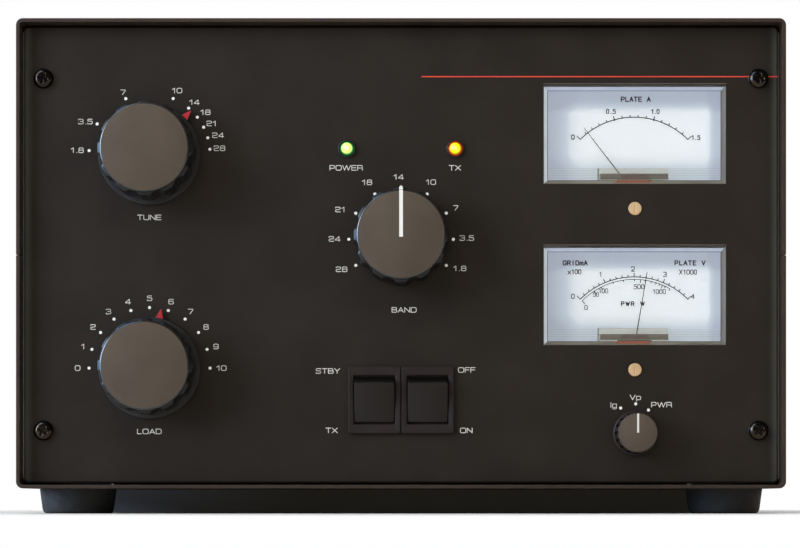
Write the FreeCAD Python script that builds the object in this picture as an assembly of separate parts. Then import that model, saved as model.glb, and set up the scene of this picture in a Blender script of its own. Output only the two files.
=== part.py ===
"""HF linear amplifier: a table-top valve power amplifier in a two-part sheet-metal case.

Millimetres. X runs to the right seen from the front, the front faces -Y and +Z is up.
The origin is on the table, under the middle of the whole set: knobs in front, earth stud behind.
"""
import FreeCAD
import Part
import math
import os

from FreeCAD import Vector

os.makedirs("parts", exist_ok=True)

X_AXIS = Vector(1, 0, 0)
Y_AXIS = Vector(0, 1, 0)
Z_AXIS = Vector(0, 0, 1)

# Clearances
TOUCH_GAP = 0.3           # between pieces that move past each other
RUNNING_GAP = 0.05        # radial, a shaft in its bearing
SEAT_GAP = 0.02           # radial, a shaft clamped in its hub

# Case
CASE_WIDTH = 366.0
CASE_HEIGHT = 223.5
CASE_DEPTH = 380.0
COVER_THICKNESS = 1.7
CASE_CORNER_RADIUS = 3.3
SEAM_RISE = 111.0         # seam between the two covers, above the underside of the case
SEAM_GAP = 0.4
VENT_WIDTH = 5.0
VENT_PITCH = 12.0
TOP_VENT_LENGTH = 76.0
TOP_VENT_COUNT = 12
SIDE_VENT_LENGTH = 46.0
SIDE_VENT_COUNT = 8
BOTTOM_VENT_LENGTH = 62.0
BOTTOM_VENT_COUNT = 8

# Feet
FOOT_HEIGHT = 12.0
FOOT_TOP_RADIUS = 18.7
FOOT_BOTTOM_RADIUS = 17.1
FOOT_EDGE = 1.8
FOOT_SPACING_X = 316.0
FOOT_SETBACK = 35.0       # foot centre behind the rim of the case

# Front and rear panels
PANEL_RECESS = 7.5        # panel face inside the rim of the case
PANEL_GAP = 0.9           # panel edge to cover
PANEL_THICKNESS = 3.0
PANEL_CORNER_RADIUS = 2.4
PANEL_EDGE = 0.8
REAR_THICKNESS = 2.0

# Screw heads: four large ones on the front panel, small ones on the covers
PANEL_SCREW_HEAD_RADIUS = 4.75
PANEL_SCREW_HEAD_HEIGHT = 3.0
PANEL_SCREW_INSET_X = 9.4
PANEL_SCREW_INSET_Z = 25.0
CASE_SCREW_HEAD_RADIUS = 3.9
CASE_SCREW_HEAD_HEIGHT = 1.3
SCREW_SIDES = 16
COVER_SCREW_SETBACK = 14.0
COVER_SCREW_OFFSET = 12.8  # above and below the seam

# Inner frame and sheets
FRAME_THICKNESS = 1.5
FRAME_FLANGE = 18.0
FRAME_END_MARGIN = 3.0
RAIL_HALF_HEIGHT = 20.0
CHASSIS_RISE = 8.0        # underside of the chassis floor above the underside of the case
CHASSIS_THICKNESS = 2.0
CHASSIS_FLANGE = 14.0
PARTITION_X = 46.0
PARTITION_TOP_GAP = 12.0
PARTITION_SETBACK = 12.0
SHEET_THICKNESS = 1.5
PARTITION_FOOT = 12.0
SHELF_WIDTH = 104.0
SHELF_FLANGE = 16.0

# Control knobs
KNOB_RADIUS = 23.0
KNOB_GRIP_HEIGHT = 20.0
KNOB_LOBES = 12
KNOB_SCALLOP_RADIUS = 5.0
KNOB_SCALLOP_DEPTH = 1.3
KNOB_CAP_RADIUS = 20.7
KNOB_CAP_THICKNESS = 2.0
KNOB_BACK_GAP = 0.6       # behind the tuning knobs, to their pointer discs
BAND_KNOB_GAP = 1.0       # behind the band and meter knobs, to the panel
SHAFT_RADIUS = 3.0
SHAFT_GRIP = 14.0         # length of shaft held inside a large knob
SMALL_KNOB_SKIRT_RADIUS = 10.7
SMALL_KNOB_SKIRT_HEIGHT = 1.6
SMALL_KNOB_RADIUS = 9.7
SMALL_KNOB_HEIGHT = 13.0
SMALL_KNOB_CAP_RADIUS = 9.2
SMALL_KNOB_CAP_THICKNESS = 1.3
SMALL_KNOB_FLUTES = 16
SMALL_KNOB_FLUTE_RADIUS = 0.9

# Pointer discs and slow-motion drives behind the two tuning knobs
POINTER_GAP = 1.2         # panel to pointer disc
POINTER_DISC_RADIUS = 24.3
POINTER_THICKNESS = 1.2
POINTER_BASE_RADIUS = 24.5
POINTER_TIP_RADIUS = 28.7
POINTER_HALF_WIDTH = 1.8
DRIVE_SLEEVE_RADIUS = 6.0
DRIVE_RADIUS = 13.0
DRIVE_LENGTH = 18.0
DRIVE_FLANGE_HALF_SIZE = 16.0
DRIVE_FLANGE_THICKNESS = 2.0
COUPLING_LENGTH = 12.0

# Places of the controls: inset from the side of the case, rise above its underside
TUNING_INSET = 62.7
TUNE_RISE = 159.8
LOAD_RISE = 57.6
TUNE_REST_ANGLE = 44.3    # pointer, degrees clockwise from straight up
LOAD_REST_ANGLE = 11.7
BAND_X = 0.0
BAND_RISE = 119.2
LED_HALF_SPACING = 25.9
LED_RISE = 162.5
ROCKER_HALF_PITCH = 12.75
ROCKER_RISE = 42.3
METER_INSET = 71.1
PLATE_METER_RISE = 169.5
GRID_METER_RISE = 92.4
METER_SWITCH_RISE = 26.3

# Indicator lamps
LED_RADIUS = 2.9
LED_REACH = 3.4
LED_SIDES = 20
LED_BEZEL_RADIUS = 4.1
LED_BEZEL_HEIGHT = 1.2
LED_STEM_LENGTH = 7.0

# Rocker switches
ROCKER_BEZEL_WIDTH = 25.1
ROCKER_BEZEL_HEIGHT = 32.0
ROCKER_BEZEL_PROUD = 2.0
ROCKER_BODY_WIDTH = 21.4
ROCKER_BODY_HEIGHT = 28.0
ROCKER_BODY_DEPTH = 20.0
ROCKER_OPENING_WIDTH = 19.8
ROCKER_OPENING_HEIGHT = 23.4
ROCKER_POCKET_DEPTH = 10.0
ROCKER_PIVOT_DEPTH = 2.9  # pivot behind the panel face
ROCKER_FACE_RISE = 6.5    # flat face in front of the pivot
ROCKER_BACK = 3.0
ROCKER_TILT = 14.0
ROCKER_PIN_RADIUS = 1.2
BLADE_WIDTH = 6.3
BLADE_THICKNESS = 0.8
BLADE_LENGTH = 8.0

# Panel meters
METER_WINDOW_WIDTH = 87.3
METER_WINDOW_HEIGHT = 47.6
METER_COVER_GAP = 0.2
METER_COVER_WALL = 1.7
METER_COVER_RECESS = 0.6
METER_CASE_MARGIN = 5.0
METER_CASE_LOWER = 44.0   # bottom of the meter case below the middle of the window
METER_CASE_DEPTH = 25.0
METER_FRONT_WALL = 2.0
DIAL_DEPTH = 11.0         # front of the dial plate behind the panel face
DIAL_THICKNESS = 1.0
METER_PIVOT_DROP = 26.7   # needle pivot below the middle of the window
NEEDLE_LENGTH = 39.2
NEEDLE_WIDTH = 0.6
NEEDLE_THICKNESS = 0.4
NEEDLE_TAIL = 7.5
NEEDLE_TAIL_WEIGHT = 2.6
PLATE_NEEDLE_ANGLE = -37.7
GRID_NEEDLE_ANGLE = 9.7
YOKE_HALF_WIDTH = 16.7
YOKE_TOP = 11.5           # above the needle pivot
YOKE_BOTTOM = 14.0        # below the needle pivot
YOKE_FRONT = 9.3          # behind the panel face
YOKE_LENGTH = 11.7
YOKE_BORE_RADIUS = 9.2
YOKE_SLOT_HALF_WIDTH = 5.0
CORE_RADIUS = 6.2
CORE_WEB_HALF_WIDTH = 1.5
COIL_HALF_WIDTH = 8.3
COIL_HALF_THICKNESS = 1.5
COIL_WALL = 1.2
BRIDGE_HALF_WIDTH = 14.0
BRIDGE_HALF_HEIGHT = 2.4
BRIDGE_THICKNESS = 0.9
BRIDGE_GAP = 0.5          # bridge to moving coil
BRIDGE_LEG = 1.5
PIVOT_RADIUS = 0.7
ZERO_SCREW_DROP = 35.6    # below the middle of the window
ZERO_SCREW_RADIUS = 3.15
ZERO_SCREW_PROUD = 0.4
ZERO_SLOT_WIDTH = 0.9
ZERO_SLOT_DEPTH = 0.9
ZERO_HOLE_GAP = 0.45

# Meter switch and band switch
BUSH_RADIUS = 4.8
BUSH_GAP = 0.1
METER_SWITCH_HALF_SIZE = 11.0
METER_SWITCH_DEPTH = 14.0
BAND_PLATE_HALF_WIDTH = 28.0
BAND_PLATE_HALF_HEIGHT = 20.0
BAND_PLATE_THICKNESS = 2.5
BAND_DETENT_HALF_SIZE = 13.0
BAND_DETENT_LENGTH = 9.0
BAND_WAFER_PITCH = 40.0
BAND_WAFERS = 2
BAND_ROTOR_RADIUS = 9.0
BAND_BAR_HALF_SIZE = 1.5
BAND_BAR_HALF_SPACING = 24.0

# Air-spaced variable capacitors
VANE_RADIUS = 28.0
VANE_THICKNESS = 1.0
VANE_PITCH = 14.0         # between neighbouring fixed vanes
FIXED_VANES = 6
VANE_SIDES = 24
CAPACITOR_HALF_SIZE = 38.0
CAPACITOR_PLATE = 3.0
CAPACITOR_FOOT_DROP = 42.3
TIE_BAR_HALF_SIZE = 2.5
TIE_BAR_INSET = 5.0
CAPACITOR_SHAFT_RADIUS = 3.17
VANE_NOTCH_HALF_WIDTH = 7.0
STATOR_TOP_DROP = 2.0

# Tank coil on two insulating cheeks
COIL_X = -20.0
COIL_RISE = 163.0
TANK_RADIUS = 23.0
TANK_TURNS = 5
TANK_PITCH = 18.0
TANK_SIDES = 12           # straight runs in each turn
STRAP_WIDTH = 5.0
STRAP_THICKNESS = 2.0
COIL_SETBACK = 132.0      # first turn behind the front rim
CHEEK_HALF_HEIGHT = 30.0
CHEEK_LEFT = 29.0
CHEEK_THICKNESS = 4.0

# Valves, sockets and choke
VALVE_INSETS = (57.0, 133.0)
VALVE_SETBACK = 95.0      # in front of the rear rim
VALVE_RADIUS = 31.0
VALVE_NECK_RADIUS = 13.0
VALVE_BASE_RADIUS = 25.0
VALVE_BASE_HEIGHT = 14.0
VALVE_GLASS_HEIGHT = 112.0
VALVE_SHOULDER = 22.0
VALVE_SIDES = 24
SOCKET_HALF_SIZE = 27.0
SOCKET_HEIGHT = 18.0
SOCKET_CORNER = 8.0
COOLER_RADIUS = 15.0
COOLER_FINS = 3
COOLER_FIN_THICKNESS = 1.5
COOLER_FIN_PITCH = 4.5
COOLER_HUB_RADIUS = 7.0
COOLER_SIDES = 12
CHOKE_INSET = 95.0
CHOKE_SETBACK = 155.0
CHOKE_BASE_HALF_SIZE = 13.0
CHOKE_BASE_HEIGHT = 6.0
CHOKE_RADIUS = 11.5
CHOKE_HEIGHT = 105.0
CHOKE_SIDES = 16

# Power supply
TRANSFORMER_INSET = 70.0
TRANSFORMER_SETBACK = 95.0
CORE_WIDTH = 100.0
CORE_STACK = 60.0
CORE_HEIGHT = 120.0
LIMB_WIDTH = 17.0
CENTRE_LIMB_WIDTH = 34.0
WINDING_OVERHANG = 22.0
BOARD_SETBACK = 72.0      # behind the front rim
BOARD_DEPTH = 96.0
BOARD_WIDTH = 104.0
BOARD_LIFT = 8.0
BOARD_THICKNESS = 1.6
CAN_RADIUS = 20.0
CAN_HEIGHT = 78.0
CAN_SIDES = 20
SPACER_HALF_SIZE = 3.0
SPACER_INSET = 6.0

# Relay, fan and rear fittings
RELAY_SIZE = (30.0, 34.0, 32.0)
RELAY_OFFSET = 41.0       # beside the partition
RELAY_SETBACK = 70.0
FAN_INSET = 96.0
FAN_RISE = 98.0
FAN_SIZE = 92.0
FAN_DEPTH = 25.0
FAN_BORE_RADIUS = 43.0
FAN_TIP_RADIUS = 42.2
FAN_HUB_RADIUS = 18.0
FAN_BLADES = 5
FAN_BLADE_CHORD = 26.0
FAN_BLADE_THICKNESS = 1.8
FAN_BLADE_PITCH = 38.0
FAN_STRUT_WIDTH = 5.0
FAN_PLATE = 3.0
FAN_SPINDLE_RADIUS = 2.0
GRILLE_RADIUS = 41.0
GRILLE_SLOT_HEIGHT = 5.4
GRILLE_SLOT_PITCH = 9.0
GRILLE_SLOTS = 9
REAR_X = 5.0              # column of sockets on the rear panel
COAX_RISES = (148.0, 108.0)
COAX_FLANGE = 25.4
COAX_FLANGE_THICKNESS = 1.6
COAX_THREAD_RADIUS = 7.94
COAX_BARREL_LENGTH = 11.0
COAX_CONTACT_RADIUS = 2.0
COAX_CONTACT_DEPTH = 9.0
COAX_TAIL_RADIUS = 5.5
COAX_TAIL_LENGTH = 7.0
PHONO_RISE = 62.0
PHONO_PITCH = 15.0
PHONO_COUNT = 2
PHONO_RADIUS = 4.15
PHONO_LENGTH = 8.0
PHONO_NUT_RADIUS = 6.0
PHONO_NUT_THICKNESS = 2.2
PHONO_HOLE_RADIUS = 1.7
PHONO_HOLE_DEPTH = 9.0
PHONO_TAIL_LENGTH = 6.0
PHONO_TAIL_RADIUS = 3.4
EARTH_RISE = 28.0
EARTH_STUD_RADIUS = 3.0
EARTH_STUD_REACH = 25.0   # stud end behind the rear panel
EARTH_NUT_RADIUS = 5.8
EARTH_NUT_THICKNESS = 5.0
INLET_INSET = 65.0
INLET_RISE = 40.0
INLET_FLANGE_WIDTH = 50.0
INLET_FLANGE_HEIGHT = 27.0
INLET_FLANGE_THICKNESS = 3.0
INLET_BODY_WIDTH = 27.6
INLET_BODY_HEIGHT = 20.0
INLET_BODY_DEPTH = 16.0
INLET_CAVITY_WIDTH = 24.4
INLET_CAVITY_HEIGHT = 16.6
INLET_CAVITY_DEPTH = 16.0
INLET_CHAMFER = 5.0
INLET_PIN_TIP_RECESS = 5.5
INLET_PIN_WIDTH = 2.0
INLET_PIN_HEIGHT = 4.0
INLET_PIN_HALF_SPACING = 7.0
INLET_EARTH_LIFT = 3.8

# Places worked out from the sizes above
HALF_WIDTH = CASE_WIDTH / 2
CASE_BOTTOM = FOOT_HEIGHT
CASE_TOP = CASE_BOTTOM + CASE_HEIGHT
SEAM = CASE_BOTTOM + SEAM_RISE
INNER_HALF_WIDTH = HALF_WIDTH - COVER_THICKNESS
INNER_BOTTOM = CASE_BOTTOM + COVER_THICKNESS
INNER_TOP = CASE_TOP - COVER_THICKNESS
POINTER_REACH = POINTER_GAP + POINTER_THICKNESS
KNOB_FACE_REACH = POINTER_REACH + KNOB_BACK_GAP + KNOB_GRIP_HEIGHT + KNOB_CAP_THICKNESS
FRONT_REACH = KNOB_FACE_REACH - PANEL_RECESS
REAR_REACH = EARTH_STUD_REACH - PANEL_RECESS
CASE_FRONT = (FRONT_REACH - CASE_DEPTH - REAR_REACH) / 2
CASE_BACK = CASE_FRONT + CASE_DEPTH
PANEL_FRONT = CASE_FRONT + PANEL_RECESS
PANEL_BACK = PANEL_FRONT + PANEL_THICKNESS
REAR_FACE = CASE_BACK - PANEL_RECESS
REAR_INSIDE = REAR_FACE - REAR_THICKNESS
FRAME_FRONT = PANEL_BACK + FRAME_THICKNESS
FRAME_BACK = REAR_INSIDE - FRAME_THICKNESS
FRAME_INSIDE = INNER_HALF_WIDTH - FRAME_THICKNESS
FLOOR_TOP = CASE_BOTTOM + CHASSIS_RISE + CHASSIS_THICKNESS
PANEL_HALF_WIDTH = INNER_HALF_WIDTH - PANEL_GAP
PANEL_BOTTOM = INNER_BOTTOM + PANEL_GAP
PANEL_TOP = INNER_TOP - PANEL_GAP
CAPACITOR_X = -HALF_WIDTH + TUNING_INSET
METER_X = HALF_WIDTH - METER_INSET
FAN_X = -HALF_WIDTH + FAN_INSET
INLET_X = HALF_WIDTH - INLET_INSET
VALVE_SPOTS = [(-HALF_WIDTH + inset, CASE_BACK - VALVE_SETBACK) for inset in VALVE_INSETS]
CHOKE_SPOT = (-HALF_WIDTH + CHOKE_INSET, CASE_BACK - CHOKE_SETBACK)
TRANSFORMER_SPOT = (HALF_WIDTH - TRANSFORMER_INSET, CASE_BACK - TRANSFORMER_SETBACK)
RELAY_SPOT = (PARTITION_X - RELAY_OFFSET, CASE_BACK - RELAY_SETBACK)
COIL_FRONT = CASE_FRONT + COIL_SETBACK
BOARD_FRONT = CASE_FRONT + BOARD_SETBACK
TUNE_Z = CASE_BOTTOM + TUNE_RISE
LOAD_Z = CASE_BOTTOM + LOAD_RISE
BAND_Z = CASE_BOTTOM + BAND_RISE
METER_SWITCH_Z = CASE_BOTTOM + METER_SWITCH_RISE
FAN_Z = CASE_BOTTOM + FAN_RISE
INLET_Z = CASE_BOTTOM + INLET_RISE
SHELF_TOP = TUNE_Z - CAPACITOR_FOOT_DROP
SHAFT_BORE = SHAFT_RADIUS + RUNNING_GAP
CAPACITOR_FRONT = PANEL_BACK + DRIVE_LENGTH + COUPLING_LENGTH + TOUCH_GAP
VANE_SPAN = VANE_PITCH * (FIXED_VANES - 1) + VANE_THICKNESS
CAPACITOR_INNER_LENGTH = VANE_SPAN + VANE_PITCH
CAPACITOR_BACK = CAPACITOR_FRONT + CAPACITOR_INNER_LENGTH + 2 * CAPACITOR_PLATE
FIRST_VANE = CAPACITOR_FRONT + CAPACITOR_PLATE + VANE_PITCH / 2


def block(x_span, y_span, z_span):
    """Box between two limits along each axis."""
    sides = [span[1] - span[0] for span in (x_span, y_span, z_span)]
    return Part.makeBox(sides[0], sides[1], sides[2], Vector(x_span[0], y_span[0], z_span[0]))


def around(middle, half):
    """Limits at equal distances each side of a middle."""
    return (middle - half, middle + half)


def rod(x, z, radius, y_span):
    """Round bar along Y."""
    return Part.makeCylinder(radius, y_span[1] - y_span[0], Vector(x, y_span[0], z), Y_AXIS)


def fused(shapes):
    """Several overlapping or touching solids made one."""
    shapes = list(shapes)
    return shapes[0].fuse(shapes[1:]).removeSplitter()


def together(shapes):
    """Separate solids kept side by side in one sub-part."""
    return Part.makeCompound(list(shapes))


def upright(solid):
    """The same solid with its volume counted as positive."""
    if solid.Volume < 0:
        solid.reverse()
    return solid


def turned_along_y(x, z, outline):
    """Solid of revolution about a line along Y, from (radius, y) corners."""
    corners = [Vector(x + radius, y, z) for radius, y in outline]
    face = Part.Face(Part.makePolygon(corners + corners[:1]))
    return upright(face.revolve(Vector(x, 0, z), Y_AXIS, 360))


def turned_along_z(x, y, outline):
    """Solid of revolution about a line along Z, from (radius, z) corners."""
    corners = [Vector(x + radius, y, z) for radius, z in outline]
    face = Part.Face(Part.makePolygon(corners + corners[:1]))
    return upright(face.revolve(Vector(x, y, 0), Z_AXIS, 360))


def prism(corners, push):
    """Straight-sided solid: a flat polygon pushed along a vector."""
    face = Part.Face(Part.makePolygon(corners + corners[:1]))
    return upright(face.extrude(push))


def pushed_along_y(outline, y_span):
    """Prism along Y over a polygon of (x, z) corners."""
    return prism([Vector(x, y_span[0], z) for x, z in outline],
                 Vector(0, y_span[1] - y_span[0], 0))


def edges_along(solid, axis):
    """Straight edges parallel to an axis."""
    found = []
    for edge in solid.Edges:
        run = edge.valueAt(edge.LastParameter) - edge.valueAt(edge.FirstParameter)
        if run.Length > 0 and abs(abs(run.dot(axis)) - run.Length) < 1e-6:
            found.append(edge)
    return found


def rounded_block(x_span, y_span, z_span, radius, axis=Y_AXIS):
    """Box with the four edges along one axis rounded."""
    solid = block(x_span, y_span, z_span)
    return solid.makeFillet(radius, edges_along(solid, axis))


def regular(x, z, radius, sides, phase=0.0):
    """Corners of a regular polygon, the first one straight up when the phase is nought."""
    corners = []
    for index in range(sides):
        angle = 2 * math.pi * (index + phase) / sides
        corners.append((x + radius * math.sin(angle), z + radius * math.cos(angle)))
    return corners


def faceted(foot, axis, profile, sides):
    """Many-sided body on an axis, through rings of the given (radius, distance from the foot)."""
    across = X_AXIS if abs(axis.x) < 0.5 else Z_AXIS
    other = axis.cross(across)
    rings = []
    for radius, distance in profile:
        rings.append([foot + across * u + other * v + axis * distance
                      for u, v in regular(0, 0, radius, sides, 0.5)])
    faces = [Part.Face(Part.makePolygon(ring + ring[:1])) for ring in (rings[0], rings[-1])]
    for low, high in zip(rings, rings[1:]):
        for index in range(sides):
            after = (index + 1) % sides
            corners = [low[index], low[after], high[after], high[index]]
            faces.append(Part.Face(Part.makePolygon(corners + corners[:1])))
    return upright(Part.Solid(Part.Shell(faces)))


def spread(middle, pitch, count):
    """Evenly spaced places about a middle."""
    return [middle + pitch * (index - (count - 1) / 2) for index in range(count)]


def save(name, shape):
    """One STEP file for one sub-part."""
    if not shape.isValid():
        print("not valid:", name)
    shape.exportStep("parts/" + name + ".step")


# ---------------------------------------------------------------- case

def case_tube():
    """The closed sleeve that the two covers make together, before it is parted at the seam."""
    outside = rounded_block(around(0, HALF_WIDTH), (CASE_FRONT, CASE_BACK),
                            (CASE_BOTTOM, CASE_TOP), CASE_CORNER_RADIUS)
    bend = max(CASE_CORNER_RADIUS - COVER_THICKNESS, 0.2)
    inside = rounded_block(around(0, INNER_HALF_WIDTH), (CASE_FRONT - 1, CASE_BACK + 1),
                           (INNER_BOTTOM, INNER_TOP), bend)
    return outside.cut(inside)


def cover_screw_spots():
    """Places of the side screws: (side, y, z), half of them on each cover."""
    rows = (CASE_FRONT + COVER_SCREW_SETBACK, CASE_BACK - COVER_SCREW_SETBACK)
    heights = (SEAM - COVER_SCREW_OFFSET, SEAM + COVER_SCREW_OFFSET)
    return [(side, y, z) for side in (-1, 1) for y in rows for z in heights]


def foot_spots():
    """Centres of the four feet."""
    rows = (CASE_FRONT + FOOT_SETBACK, CASE_BACK - FOOT_SETBACK)
    return [(side * FOOT_SPACING_X / 2, y) for y in rows for side in (-1, 1)]


def top_cover():
    """Upper cover: top and upper halves of the sides, with cooling slots above the valves."""
    shell = case_tube().common(block(around(0, CASE_WIDTH), around(0, CASE_DEPTH + CASE_WIDTH),
                                     (SEAM + SEAM_GAP / 2, CASE_TOP + 1)))
    cutters = []
    valve_x = (VALVE_SPOTS[0][0] + VALVE_SPOTS[1][0]) / 2
    valve_y = VALVE_SPOTS[0][1]
    half = VENT_WIDTH / 2
    for x in spread(valve_x, VENT_PITCH, TOP_VENT_COUNT):
        cutters.append(block(around(x, half), around(valve_y, TOP_VENT_LENGTH / 2),
                             (INNER_TOP - 1, CASE_TOP + 1)))
    middle = (SEAM + CASE_TOP) / 2 + VENT_WIDTH
    for y in spread(valve_y, VENT_PITCH, SIDE_VENT_COUNT):
        cutters.append(block(around(0, CASE_WIDTH), around(y, half),
                             around(middle, SIDE_VENT_LENGTH / 2)))
    return shell.cut(cutters)


def bottom_cover():
    """Lower cover: underside and lower halves of the sides, with slots under the valves."""
    shell = case_tube().common(block(around(0, CASE_WIDTH), around(0, CASE_DEPTH + CASE_WIDTH),
                                     (CASE_BOTTOM - 1, SEAM - SEAM_GAP / 2)))
    cutters = []
    valve_x = (VALVE_SPOTS[0][0] + VALVE_SPOTS[1][0]) / 2
    for x in spread(valve_x, VENT_PITCH, BOTTOM_VENT_COUNT):
        cutters.append(block(around(x, VENT_WIDTH / 2),
                             around(VALVE_SPOTS[0][1], BOTTOM_VENT_LENGTH / 2),
                             (CASE_BOTTOM - 1, INNER_BOTTOM + 1)))
    return shell.cut(cutters)


def feet():
    """Four tapered rubber feet with softened bottom edges."""
    made = []
    for x, y in foot_spots():
        outline = ((0, 0), (FOOT_BOTTOM_RADIUS - FOOT_EDGE, 0), (FOOT_BOTTOM_RADIUS, FOOT_EDGE),
                   (FOOT_TOP_RADIUS, FOOT_HEIGHT), (0, FOOT_HEIGHT))
        made.append(turned_along_z(x, y, outline))
    return together(made)


def case_screws():
    """Heads of the eight side screws that hold the covers."""
    profile = ((CASE_SCREW_HEAD_RADIUS, 0), (CASE_SCREW_HEAD_RADIUS, CASE_SCREW_HEAD_HEIGHT / 2),
               (CASE_SCREW_HEAD_RADIUS / 2, CASE_SCREW_HEAD_HEIGHT))
    return together([faceted(Vector(side * HALF_WIDTH, y, z), X_AXIS * side, profile, SCREW_SIDES)
                     for side, y, z in cover_screw_spots()])


def side_frames():
    """Pair of folded side frames: front and rear uprights joined by a rail behind the seam."""
    low = INNER_BOTTOM + FRAME_END_MARGIN
    high = INNER_TOP - FRAME_END_MARGIN
    made = []
    for side in (-1, 1):
        wall = sorted((side * FRAME_INSIDE, side * INNER_HALF_WIDTH))
        flange = sorted((side * (INNER_HALF_WIDTH - FRAME_FLANGE), side * INNER_HALF_WIDTH))
        front_wall = block(wall, (PANEL_BACK, PANEL_BACK + FRAME_FLANGE), (low, high))
        front_flange = block(flange, (PANEL_BACK, FRAME_FRONT), (low, high))
        rear_wall = block(wall, (REAR_INSIDE - FRAME_FLANGE, REAR_INSIDE), (low, high))
        rear_flange = block(flange, (FRAME_BACK, REAR_INSIDE), (low, high))
        rail = block(wall, (PANEL_BACK, REAR_INSIDE), around(SEAM, RAIL_HALF_HEIGHT))
        made.append(fused([front_wall, front_flange, rear_wall, rear_flange, rail]))
    return together(made)


def chassis():
    """Floor tray with turned-up sides between the side frames."""
    bottom = CASE_BOTTOM + CHASSIS_RISE
    outside = block(around(0, FRAME_INSIDE), (FRAME_FRONT, FRAME_BACK),
                    (bottom, FLOOR_TOP + CHASSIS_FLANGE))
    inside = block(around(0, FRAME_INSIDE - CHASSIS_THICKNESS), (FRAME_FRONT - 1, FRAME_BACK + 1),
                   (FLOOR_TOP, FLOOR_TOP + 2 * CHASSIS_FLANGE))
    return outside.cut(inside)


def inner_plates():
    """Partition between the radio and power sides, and the shelf of the upper capacitor."""
    wall_x = (PARTITION_X, PARTITION_X + SHEET_THICKNESS)
    run = (FRAME_FRONT + PARTITION_SETBACK, FRAME_BACK - TOUCH_GAP)
    wall = block(wall_x, run, (FLOOR_TOP, INNER_TOP - PARTITION_TOP_GAP))
    foot = block((PARTITION_X, PARTITION_X + PARTITION_FOOT), run,
                 (FLOOR_TOP, FLOOR_TOP + SHEET_THICKNESS))
    shelf_run = (CAPACITOR_FRONT - PARTITION_FOOT / 2, CAPACITOR_BACK + PARTITION_FOOT / 2)
    shelf = block((-FRAME_INSIDE, -FRAME_INSIDE + SHELF_WIDTH), shelf_run,
                  (SHELF_TOP - CHASSIS_THICKNESS, SHELF_TOP))
    apron = block((-FRAME_INSIDE, -FRAME_INSIDE + SHEET_THICKNESS), shelf_run,
                  (SHELF_TOP - SHELF_FLANGE, SHELF_TOP))
    return together([fused([wall, foot]), fused([shelf, apron])])


# ---------------------------------------------------------------- panels

def panel_screw_spots():
    """Centres of the four panel screws as (x, z)."""
    half = PANEL_HALF_WIDTH - PANEL_SCREW_INSET_X
    heights = (PANEL_BOTTOM + PANEL_SCREW_INSET_Z, PANEL_TOP - PANEL_SCREW_INSET_Z)
    return [(side * half, z) for z in heights for side in (-1, 1)]


def panel_screws():
    """Domed heads of the four front panel screws."""
    profile = ((PANEL_SCREW_HEAD_RADIUS, 0), (PANEL_SCREW_HEAD_RADIUS, PANEL_SCREW_HEAD_HEIGHT / 2),
               (PANEL_SCREW_HEAD_RADIUS / 2, PANEL_SCREW_HEAD_HEIGHT))
    return together([faceted(Vector(x, PANEL_FRONT, z), Y_AXIS * -1, profile, SCREW_SIDES)
                     for x, z in panel_screw_spots()])


def rocker_places():
    """Middles of the two rocker switches as (x, z)."""
    height = CASE_BOTTOM + ROCKER_RISE
    return [(BAND_X - ROCKER_HALF_PITCH, height), (BAND_X + ROCKER_HALF_PITCH, height)]


def led_places():
    """Middles of the two lamps as (x, z)."""
    height = CASE_BOTTOM + LED_RISE
    return [(BAND_X - LED_HALF_SPACING, height), (BAND_X + LED_HALF_SPACING, height)]


def meter_heights():
    """Heights of the middles of the two meter windows."""
    return (CASE_BOTTOM + PLATE_METER_RISE, CASE_BOTTOM + GRID_METER_RISE)


def front_panel():
    """Front plate with soft edges, pierced for every control."""
    plate = rounded_block(around(0, PANEL_HALF_WIDTH), (PANEL_FRONT, PANEL_BACK),
                          (PANEL_BOTTOM, PANEL_TOP), PANEL_CORNER_RADIUS)
    rim = [edge for edge in plate.Edges
           if abs(edge.BoundBox.YMax - PANEL_FRONT) < 1e-6]
    plate = plate.makeChamfer(PANEL_EDGE, rim)
    through = (PANEL_FRONT - 1, PANEL_BACK + 1)
    holes = []
    for z in (TUNE_Z, LOAD_Z):
        holes.append(rod(CAPACITOR_X, z, DRIVE_SLEEVE_RADIUS + TOUCH_GAP, through))
    holes.append(rod(BAND_X, BAND_Z, BUSH_RADIUS + BUSH_GAP, through))
    holes.append(rod(METER_X, METER_SWITCH_Z, BUSH_RADIUS + BUSH_GAP, through))
    for x, z in led_places():
        holes.append(rod(x, z, LED_RADIUS + BUSH_GAP, through))
    for x, z in rocker_places():
        holes.append(block(around(x, ROCKER_BODY_WIDTH / 2 + BUSH_GAP), through,
                           around(z, ROCKER_BODY_HEIGHT / 2 + BUSH_GAP)))
    for z in meter_heights():
        holes.append(block(around(METER_X, METER_WINDOW_WIDTH / 2), through,
                           around(z, METER_WINDOW_HEIGHT / 2)))
        holes.append(rod(METER_X, z - ZERO_SCREW_DROP, ZERO_SCREW_RADIUS + ZERO_HOLE_GAP, through))
    return plate.cut(holes)


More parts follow.
